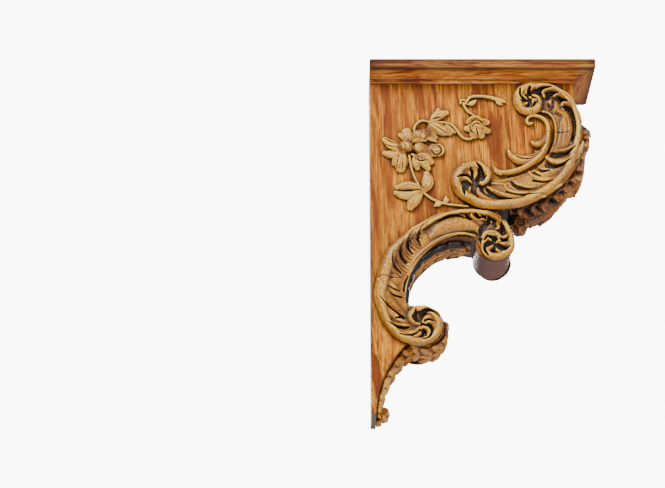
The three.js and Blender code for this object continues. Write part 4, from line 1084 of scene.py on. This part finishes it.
def build_belly_leaf():
    """The broad leaf down the front of the belly."""
    r = Relief((angle_mm(BELLY, -19), -26), (angle_mm(BELLY, 90), 26), LEAF_STEP)
    start, end = angle_mm(BELLY, -14.5), angle_mm(BELLY, 84)
    line = np.stack([np.linspace(start, end, 40), np.zeros(40)], 1)
    angles = [-17, -7, 0, 4, 15, 27, 35, 50, 60, 68, 84]
    proud = [8.5, 12.6, 11, 7.4, 8.2, 10.8, 7, 8.2, 10.6, 11, 11.8]
    crest = np.interp(line[:, 0] / angle_mm(BELLY, 1), angles, proud)
    r.stroke(line, list(48 + np.sin(np.arange(40) * 1.9)), list(0.36 * crest), rise=0.2, fall=0.2, raw=True)
    r.stroke(line, list(21 + 3 * np.sin(0.9 * np.arange(40))), list(crest), rise=0.45, fall=0.45, low=2.5,
             raw=True)
    for k in range(10):
        x = start + 6 + 12.2 * k
        lift = float(np.interp(x, line[:, 0], crest)) * noise_source.uniform(0.74, 0.9)
        mirrored(r, [(x - 4, 11), (x + 0.5, 17), (x + 3.5, 22.3)], [7.5, 11, 6],
                 [0.9 * lift, lift, 0.85 * lift], rise=0.5, fall=0.5)
        mirrored_cut(r, [(x - 1.5, 13), (x + 2.5, 20)], [0.8, 1.4], [1.4, 1.8], 1.2)
        mirrored_cut(r, [(x + 4.5, 14.5), (x + 8.4, 21.2)], [3.4, 4.8], [10, 10], 0.8)
    for angle in (-7, 27, 62):
        x = angle_mm(BELLY, angle)
        top = float(np.interp(angle, angles, proud))
        mirrored(r, [(x - 11, 5), (x - 1, 14), (x + 5, 23.4)], [9, 13, 4.5], [0.8 * top, top, 0.92 * top],
                 rise=0.6, fall=0.6)
        mirrored_cut(r, [(x - 7, 8), (x - 0.5, 15), (x + 4, 22)], [0.8, 1.6, 0.8], [1.4, 2.2, 1.2], 1.2)
    for y in (-6.5, 6.5):
        r.groove(line[2:-2] + [0, y], [1.0, 1.4, 1.0], [1.2, 1.6, 1.2], 1.2, raw=True)
    # Darker towards the lower end of the leaf, with random dark patches.
    below = np.clip((r.x / angle_mm(BELLY, 1) - 35) / 40, 0, 1)
    r.shade_and_dirt = 0.16 * below + 0.06 * np.clip(grain_noise(r.h.shape, 9), 0, 1)
    return r.finish(0.45, 0.25)


def build_arch_leaf():
    """The leaf in the hollow of the arch."""
    r = Relief((angle_mm(ARCH, -206), -25), (angle_mm(ARCH, -80), 25), LEAF_STEP)
    running_leaf(r, angle_mm(ARCH, -84), angle_mm(ARCH, -188), lambda t: 19.5 - 5 * t, 5.4, 17.0, 12.0,
                 lambda t: 1.0, 1.8)
    # Painted shade towards both edges of the leaf, next to the side ornament, and random dark patches.
    r.shade_and_dirt = np.clip((np.abs(r.y) - 10) / 6, 0, 1) * 0.4 + 0.12 * np.clip(grain_noise(r.h.shape, 9), 0, 1)
    return r.finish(0.45, 0.25)


def leg_line():
    """The hollow arc of the leg: it leaves the lower roll and meets the foot upright."""
    cx, cy, radius = LOWER_ROLL
    end = math.radians(135)
    px, py = cx + radius * math.cos(end), cy + radius * math.sin(end)
    leg_radius = ((px - FOOT_THICKNESS) ** 2 + (HEIGHT - py) ** 2) / 2 / (px - FOOT_THICKNESS)
    centre = (FOOT_THICKNESS + leg_radius, HEIGHT)
    top = math.asin((HEIGHT - py) / leg_radius) - math.pi
    return leg_radius, centre, top


LEG_RADIUS, LEG_CENTRE, LEG_TOP = leg_line()


def build_roll_leaf():
    """The leg's leaf where it wraps the lower roll."""
    r = Relief((angle_mm(LOWER_ROLL, -36), -25), (angle_mm(LOWER_ROLL, 131), 25), LEAF_STEP)
    running_leaf(r, angle_mm(LOWER_ROLL, -26), angle_mm(LOWER_ROLL, 116), lambda t: 22.5, 5.0, 11.0, 6.0,
                 lambda t: 1.0, 2.6)
    return r.finish(0.4, 0.3)


def build_leg_leaf():
    """The leg's leaf on its way down to the foot."""
    length = LEG_RADIUS * (math.pi + LEG_TOP)
    r = Relief((-2, -25), (length + 0.4, 25), LEAF_STEP)
    running_leaf(r, 1.5, length - 1, lambda t: 20.5 - 5 * t, 7.4, 13.0, 7.0, lambda t: 1 - 0.35 * t, 2.6)
    # chips along the worn strip
    for k in range(9):
        x = length * (0.2 + 0.08 * k)
        y = noise_source.uniform(-16, 16)
        r.groove([(x, y), (x + 4, y + 2)], [3.0, 4.5], [3.5, 3.5], 0.9, raw=True)
    # Lighter towards the foot, taking more of the crest highlight colour, and darker at the top.
    share = r.x / length
    r.shade_and_dirt = -0.14 * np.clip((share - 0.35) / 0.3, 0, 1) + 0.10 * np.clip(0.25 - share, 0, 0.25) / 0.25
    return r.finish(0.4, 0.35)


def on_leg(x, y, h):
    """Puts a relief on the front of the leg."""
    return on_axis(LEG_CENTRE, LEG_RADIUS - LEG_GLUE - h, LEG_TOP - x / LEG_RADIUS, y)


def curl_piece(name, roll, half, shade_and_dirt, material):
    """A leaf tip rolled up to a small scroll across the bracket, its two ends a little sunk."""
    cx, cy, radius = roll
    rows, across = 46, 25
    a = np.linspace(0, 2 * math.pi, rows, endpoint=False)
    verts, shade_and_wax = [], []
    for j in range(across):
        v = 2 * j / (across - 1) - 1
        swell = radius * (1 - 0.16 * abs(v) ** 2.5 + 0.05 * math.sin(9 * v))
        ridge = 1 + 0.06 * np.cos(5 * a + 2.5 * v) + 0.03 * np.cos(11 * a)
        verts.append(on_axis(roll, swell * ridge, a, np.full(rows, half * v)))
        # Painted shade: lighter on the ridges and darker between them.
        shade_and_wax.append(shade_and_dirt - 1.6 * (ridge - 1))
    for side, ring in ((-1, 0), (1, across - 1)):
        for share, depth in ((0.72, -0.4), (0.5, 0.9), (0.25, 0.3), (0.02, 0.6)):
            row = verts[ring].copy()
            row[:, 0] = cx * MM + (row[:, 0] - cx * MM) * share
            row[:, 2] = (TOP - cy) * MM + (row[:, 2] - (TOP - cy) * MM) * share
            row[:, 1] = side * (half - depth) * MM
            verts.append(row)
            # The deeper sunk rings a little darker, as painted shade.
            shade_and_wax.append(np.full(rows, shade_and_dirt + (0.18 if depth > 0.5 else 0.0)))
    # The rings in their order: one sunk end, the rolled leaf, the other sunk end.
    order = [*range(across + 3, across - 1, -1), *range(across), *range(across + 4, across + 8)]
    faces = []
    for p, q in zip(order[:-1], order[1:]):
        for i in range(rows):
            n = (i + 1) % rows
            faces.append((p * rows + i, p * rows + n, q * rows + n, q * rows + i))
    attributes = {"shade_and_wax": np.clip(np.concatenate(shade_and_wax), 0, 1)}
    return make_mesh(name, np.vstack(verts), np.array(faces), attributes, material)


# The oak body

def outline():
    """The body's side outline in mm: out along the top, down the front and back up the wall."""
    def arc(c, start, end, step):
        count = max(2, int(abs(end - start) / step))
        return around(c, c[2], np.radians(np.linspace(start, end, count + 1)))
    top_angle = -math.degrees(math.acos((FRONT_FACE - BELLY[0]) / BELLY[2]))
    belly = arc(BELLY, top_angle, 97, 2.5)
    notch = belly[-1] + [-3.5, 7]
    roll = arc(ROLL, -50, 193.7, 6)
    arch = arc(ARCH, -75.7, -203.9, 3)
    lower = arc(LOWER_ROLL, -144.2, 135, 6)
    leg = around(LEG_CENTRE, LEG_RADIUS, np.linspace(LEG_TOP, -math.pi, 30))
    front = np.stack([np.full(12, FRONT_FACE), np.linspace(0, belly[0, 1], 13)[:-1]], 1)
    top = np.stack([np.linspace(0, FRONT_FACE, 41)[:-1], np.zeros(40)], 1)
    foot = np.array([[2.5, HEIGHT]])
    wall = np.stack([np.zeros(60), np.linspace(HEIGHT, 0, 61)[:-1]], 1)
    return np.vstack([top, front, belly, notch[None], roll, arch[1:], lower[1:], leg[1:], foot, wall])


def body_piece(reliefs, material):
    """The oak body: two flat side faces and the rounded band between them."""
    line = outline()
    n = len(line)
    before, after = np.roll(line, 1, 0), np.roll(line, -1, 0)
    e1, e2 = line - before, after - line
    e1 /= np.maximum(np.hypot(*e1.T), 1e-6)[:, None]
    e2 /= np.maximum(np.hypot(*e2.T), 1e-6)[:, None]
    n1, n2 = np.stack([-e1[:, 1], e1[:, 0]], 1), np.stack([-e2[:, 1], e2[:, 0]], 1)
    inward = n1 + n2
    inward /= np.maximum((inward * n1).sum(1), 0.6)[:, None]
    inner = line + inward * EDGE_ROUND
    # the side face: the inset outline filled with a fine net
    spacing = 1.7
    xs, ys = np.meshgrid(np.arange(0.5 * spacing, 208, spacing), np.arange(0.5 * spacing, HEIGHT, spacing))
    xs[::2] += 0.5 * spacing
    points = np.stack([xs.ravel(), ys.ravel()], 1)
    points = points[lies_inside(np.vstack([inner, inner[:1]]), *points.T)]
    keep = np.ones(len(points), bool)
    for i in range(n):
        keep &= np.hypot(*(points - inner[i]).T) > 0.5 * spacing
        mid = 0.5 * (inner[i] + inner[(i + 1) % n])
        keep &= np.hypot(*(points - mid).T) > 0.4 * spacing
    points = points[keep]
    flat = [Vector((float(a), float(b))) for a, b in np.vstack([inner, points])]
    edges = [(i, (i + 1) % n) for i in range(n)]
    out = geometry.delaunay_2d_cdt(flat, edges, [], 1, 1e-6)
    side_points = np.array([[v.x, v.y] for v in out[0]])
    triangles = np.array([f for f in out[2] if len(f) == 3])
    rim_index = np.array([next(k for k, src in enumerate(out[3]) if i in src) for i in range(n)])
    side_stain_and_shade = stain_and_shade_at(side_points, line, reliefs)
    verts, stain_and_shade, purple, grey = [], [], [], []

    def add(x, y, d, s, p, g):
        verts.append(np.stack([x, y, TOP - d], 1) * MM)
        stain_and_shade.append(s)
        purple.append(p)
        grey.append(g)
        return sum(len(v) for v in verts) - len(x)

    zero = np.zeros(len(side_points))
    first = add(side_points[:, 0], zero - HALF_WIDTH, side_points[:, 1], side_stain_and_shade, zero, zero)
    second = add(side_points[:, 0], zero + HALF_WIDTH, side_points[:, 1], side_stain_and_shade, zero, zero)
    tris = [triangles[:, ::-1] + first, triangles + second]
    # the band across the front, rows from one side to the other
    rows = [(-HALF_WIDTH + EDGE_ROUND * (1 - math.cos(q)), 1 - math.sin(q)) for q in np.radians([30, 60, 90])]
    rows += [(v, 0.0) for v in np.linspace(-HALF_WIDTH + 3, HALF_WIDTH - 3, 18)]
    rows += [(-v, s) for v, s in rows[2::-1]]
    front = 1.0 * ((line[:, 0] > 0.5) & (line[:, 1] > 0.5))
    rolls = 1.0 * (np.hypot(line[:, 0] - ROLL[0], line[:, 1] - ROLL[1]) < ROLL[2] + 0.3)
    foot = 1.0 * ((line[:, 1] > HEIGHT - 0.5) & (line[:, 0] > 0.2) & (line[:, 0] < 6))
    notch = np.exp(-(np.hypot(line[:, 0] - NOTCH[0], line[:, 1] - NOTCH[1]) / 17) ** 2)
    arch = 1.0 * (np.hypot(line[:, 0] - ARCH[0], line[:, 1] - ARCH[1]) < ARCH[2] + 0.3)
    under = rolls * np.clip((ROLL[0] + 6 - line[:, 0]) / 20, 0, 1)
    # Dark wax and painted shade round the band: painted shade in the notch, under the arch, on the roll's
    # side towards the wall and under the cap.
    band_stain_and_shade = 0.30 * front + 0.9 * notch + 0.45 * arch + 0.45 * under + 0.5 * (line[:, 1] < 0.5) + 0.1
    starts = []
    for y, s in rows:
        at = line + inward * EDGE_ROUND * s
        wobble = 0.05 * np.sin(0.35 * y + 0.2 * line[:, 1])
        dark = np.clip(band_stain_and_shade + wobble, 0, 1)
        starts.append(add(at[:, 0], np.full(n, y), at[:, 1], dark, rolls * 0.9 + 0.25 * arch, foot))
    quads = []
    for p, q in zip(starts[:-1], starts[1:]):
        i = np.arange(n)
        j = (i + 1) % n
        quads.append(np.stack([p + i, q + i, q + j, p + j], 1))
    i = np.arange(n)
    j = (i + 1) % n
    quads.append(np.stack([first + rim_index[i], starts[0] + i, starts[0] + j, first + rim_index[j]], 1))
    quads.append(np.stack([starts[-1] + i, second + rim_index[i], second + rim_index[j], starts[-1] + j], 1))
    quads = np.vstack(quads)
    split = np.vstack([quads[:, [0, 1, 2]], quads[:, [0, 2, 3]]])
    faces = np.vstack(tris + [split])
    piece = make_mesh("oak_corbel", np.vstack(verts), faces,
                      {"stain_and_shade": np.concatenate(stain_and_shade), "purple": np.concatenate(purple),
                       "grey": np.concatenate(grey)}, material)
    piece.data.set_sharp_from_angle(angle=math.radians(35))
    return piece


def stain_and_shade_at(points, line, reliefs):
    """Dark wax and painted shade on the side face: along its edges, under the cap and round the ornament."""
    x, y = points.T
    stain_and_shade = 0.75 * np.exp(-np.maximum(0, y - 18) / 3.5) + 0.55 * np.exp(-x / 1.8)
    near = np.full(len(points), 99.0)
    for a in line[::2]:
        if a[0] > 0.5 and a[1] > 50:
            near = np.minimum(near, np.hypot(x - a[0], y - a[1]))
    stain_and_shade += 0.4 * np.exp(-near / 2.0)
    for r in reliefs:
        mask = blur((r.edge > -0.4).astype(float), 1.5 / r.step)
        mask += 0.6 * blur((r.edge > 0).astype(float), 3.2 / r.step)
        i = np.clip(((x - r.low[0]) / r.step).round().astype(int), 0, mask.shape[1] - 1)
        j = np.clip(((y - r.low[1]) / r.step).round().astype(int), 0, mask.shape[0] - 1)
        right, bottom = r.low + r.step * np.array(mask.shape[::-1])
        within = (x > r.low[0]) & (x < right) & (y > r.low[1]) & (y < bottom)
        stain_and_shade += np.where(within, 0.75 * mask[j, i], 0)
    return np.clip(stain_and_shade, 0, 0.95)


# The cap moulding

def cap_section():
    """The moulding as rows of (out, down, stain and shade), closed, with rounded edges, and dirt and painted
    shade in the steps, on the fascia and under the bead.
    """
    def arc(cx, cy, r, start, end, count, dark):
        turn = around((cx, cy), r, np.radians(np.linspace(start, end, count)))
        return np.column_stack([turn, np.full(count, dark)])
    out = 19.5
    cove = arc(17.0, 0, 1, -90, -180, 13, 0.0)
    cove_shade_and_dirt = (0.75 * np.linspace(1, 0, 13) ** 6 + 0.85 * np.linspace(0, 1, 13) ** 6
                 + 0.12 * (np.abs(np.arange(13) - 6) < 1))
    cove = np.stack([17.0 + 15.1 * (cove[:, 0] - 17.0), 15.1 + 4 * cove[:, 1], cove_shade_and_dirt], 1)
    section = np.vstack([
        np.array([[0.3, 0.0, 0.5], [9.0, 0.0, 0.4]]),
        arc(out - 1.3, 1.3, 1.3, -90, 0, 6, 0.9),
        np.array([[out, 2.2, 0.8], [out, 4.2, 0.6], [out - 0.15, 5.4, 0.74], [out, 6.6, 0.5]]),
        arc(out - 0.9, 8.6, 0.9, 0, 90, 5, 0.6),
        np.array([[17.4, 9.6, 0.95], [17.0, 9.9, 0.95]]),
        cove,
        arc(0.3, 17.0, 1.9, -20, 90, 9, 0.05),
    ])
    # Dark under the bead, where it meets the body: painted shade and dirt.
    section[-2:, 2] = 0.9
    return section


def cap_piece(name, start, end, count, material):
    """A run of the moulding from one mitre to the other. start and end put a section point in space."""
    section = cap_section()
    m = len(section)
    first = np.array([start(o, d) for o, d, _ in section])
    last = np.array([end(o, d) for o, d, _ in section])
    share = np.linspace(0, 1, count + 1)
    wear = 0.12 * blur(noise_source.standard_normal((count + 1, m)), 2.0)
    verts = np.vstack([first * (1 - t) + last * t for t in share]) * MM
    faces = []
    for k in range(count):
        for i in range(m):
            j = (i + 1) % m
            faces.append((k * m + i, k * m + j, (k + 1) * m + j))
            faces.append((k * m + i, (k + 1) * m + j, (k + 1) * m + i))
    for a, b, c in geometry.tessellate_polygon([[Vector((float(o), float(d), 0)) for o, d, _ in section]]):
        faces.append((c, b, a))
        faces.append((count * m + a, count * m + b, count * m + c))
    ends = 0.5 * np.exp(-share * count / 1.5) + 0.35 * np.exp(-(1 - share) * count / 1.2)
    stain_and_shade = np.clip(section[:, 2] + wear * 3 + ends[:, None], 0, 1).ravel()
    nothing = np.zeros(len(verts))
    piece = make_mesh(name, verts, np.array(faces), {"stain_and_shade": stain_and_shade, "purple": nothing, "grey": nothing},
                      material)
    fix_normals(piece)
    piece.data.set_sharp_from_angle(angle=math.radians(32))
    return piece


def fix_normals(piece):
    """Turns all faces outward."""
    bm = bmesh.new()
    bm.from_mesh(piece.data)
    bmesh.ops.recalc_face_normals(bm, faces=bm.faces[:])
    bm.to_mesh(piece.data)
    bm.free()


# Build everything

upper = build_upper_scroll()
lower = build_lower_scroll()
spray = build_spray()
names = {-1: "left", 1: "right"}
for side in (-1, 1):
    word = names[side]
    for relief, kind in ((upper, "upper_scroll"), (lower, "lower_scroll"), (spray, "flower_spray")):
        piece = relief_piece(f"{kind}_relief_{word}", relief, on_side(side), side > 0, cast_side)
        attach(piece, "root")
        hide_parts(f"{kind}_{word}")

belly_leaf = relief_piece("belly_leaf_relief", build_belly_leaf(), on_round(BELLY, 1), False, cast_leaf,
                          LEAF_RIM_SHADE)
belly_curl = curl_piece("belly_leaf_curl", BELLY_CURL, 12.0, 0.25, cast_leaf)
arch_leaf = relief_piece("arch_leaf_relief", build_arch_leaf(), on_round(ARCH, -1), True, cast_leaf,
                         LEAF_RIM_SHADE)
roll_leaf = relief_piece("roll_leaf_relief", build_roll_leaf(), on_round(LOWER_ROLL, 1), False, cast_leaf,
                         LEAF_RIM_SHADE)
leg_leaf = relief_piece("leg_leaf_relief", build_leg_leaf(), on_leg, False, cast_leaf, LEAF_RIM_SHADE)
foot_curl = curl_piece("foot_curl", FOOT_CURL, 13.0, 0.10, cast_leaf)
for piece, node in ((belly_leaf, "belly_leaf"), (belly_curl, "belly_leaf"), (arch_leaf, "arch_leaf"),
                    (roll_leaf, "leg_leaf"), (leg_leaf, "leg_leaf"), (foot_curl, "leg_leaf")):
    fix_normals(piece)
    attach(piece, "root")
    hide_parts(node)

body = body_piece((upper, lower, spray), body_oak)
fix_normals(body)
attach(body, "root")
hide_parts("oak_body")

for side in (-1, 1):
    def start(o, d, s=side):
        return (0.0, s * (HALF_WIDTH + o), TOP - d)

    def end(o, d, s=side):
        return (FRONT_FACE + o - MITRE_GAP, s * (HALF_WIDTH + o), TOP - d)
    piece = cap_piece(f"cap_moulding_wood_{names[side]}", start, end, 30, side_oak)
    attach(piece, "root")
    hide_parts(f"cap_moulding_{names[side]}")

piece = cap_piece("cap_moulding_wood_front",
                  lambda o, d: (FRONT_FACE + o, -(HALF_WIDTH + o - MITRE_GAP), TOP - d),
                  lambda o, d: (FRONT_FACE + o, HALF_WIDTH + o - MITRE_GAP, TOP - d), 16, front_oak)
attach(piece, "root")
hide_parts("cap_moulding_front")

# The CAD nodes keep a look of their own, for views that show them.
for node in bpy.context.scene.objects:
    if node.type == "MESH" and "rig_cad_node" in node:
        name = node["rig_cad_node"]
        if name == "oak_body":
            look = body_oak
        elif name.startswith("cap"):
            look = side_oak
        else:
            look = cast_side
        node.data.materials.clear()
        node.data.materials.append(look)

# Stage, light and camera

floor_material, floor_shader = nodes_of("PaleFloor")
floor_shader.inputs["Base Color"].default_value = (0.82, 0.82, 0.82, 1)
floor_shader.inputs["Roughness"].default_value = 0.9
bpy.ops.mesh.primitive_plane_add(size=60, location=(0, 0, -2.2))
floor = bpy.context.object
floor.name = "stage_floor"
floor.data.materials.append(floor_material)

world = bpy.data.worlds.new("Studio")
world.use_nodes = True
world.node_tree.nodes["Background"].inputs["Color"].default_value = (1, 1, 1, 1)
world.node_tree.nodes["Background"].inputs["Strength"].default_value = 0.4
bpy.context.scene.world = world

# A lit white backdrop, well behind the bracket.
glow, glow_shader = nodes_of("LitBackdrop")
glow_shader.inputs["Base Color"].default_value = (1, 1, 1, 1)
glow_shader.inputs["Emission Color"].default_value = (1, 1, 1, 1)
glow_shader.inputs["Emission Strength"].default_value = 9.0
bpy.ops.mesh.primitive_plane_add(size=2.1, location=(0, 4.0, 1.45), rotation=(math.radians(110), 0, 0))
backdrop = bpy.context.object
backdrop.scale = (1, 0.78, 1)
backdrop.name = "stage_backdrop"
backdrop.data.materials.append(glow)


LIT_PLACE = Vector((0.1, 0, 0))


def area_light(name, location, size, power):
    """A soft light aimed at the bracket."""
    data = bpy.data.lights.new(name, "AREA")
    data.shape = "RECTANGLE"
    data.size, data.size_y = size
    data.energy = power
    light = bpy.data.objects.new(name, data)
    bpy.context.scene.collection.objects.link(light)
    light.location = location
    light.rotation_euler = (LIT_PLACE - Vector(location)).to_track_quat("-Z", "Y").to_euler()


area_light("Key", (-0.8, -1.2, 1.3), (0.6, 0.6), 51)
area_light("Fill", (1.5, -1.1, 0.3), (0.8, 1.2), 16)
area_light("Low", (0.3, -1.2, -1.3), (1.2, 0.6), 19)
area_light("Back", (0.6, 1.6, 1.0), (1.2, 1.2), 12)

# The camera looks along +Y and up; the bracket stands to the right of its middle.
DISTANCE = 2.3
ELEVATION = math.radians(-20)
PIXELS_PER_METRE = 1035
PICTURE_WIDTH = 665
SENSOR_WIDTH = 36
AIM = Vector((-0.0365, -0.027, -0.0085))
camera_data = bpy.data.cameras.new("PhotoCamera")
camera_data.sensor_width = SENSOR_WIDTH
camera_data.lens = SENSOR_WIDTH * DISTANCE * PIXELS_PER_METRE / PICTURE_WIDTH
camera_data.clip_end = 100
camera = bpy.data.objects.new("PhotoCamera", camera_data)
bpy.context.scene.collection.objects.link(camera)
camera.location = AIM + DISTANCE * Vector((0, -math.cos(ELEVATION), math.sin(ELEVATION)))
camera.rotation_euler = (AIM - camera.location).to_track_quat("-Z", "Y").to_euler()
bpy.context.scene.camera = camera
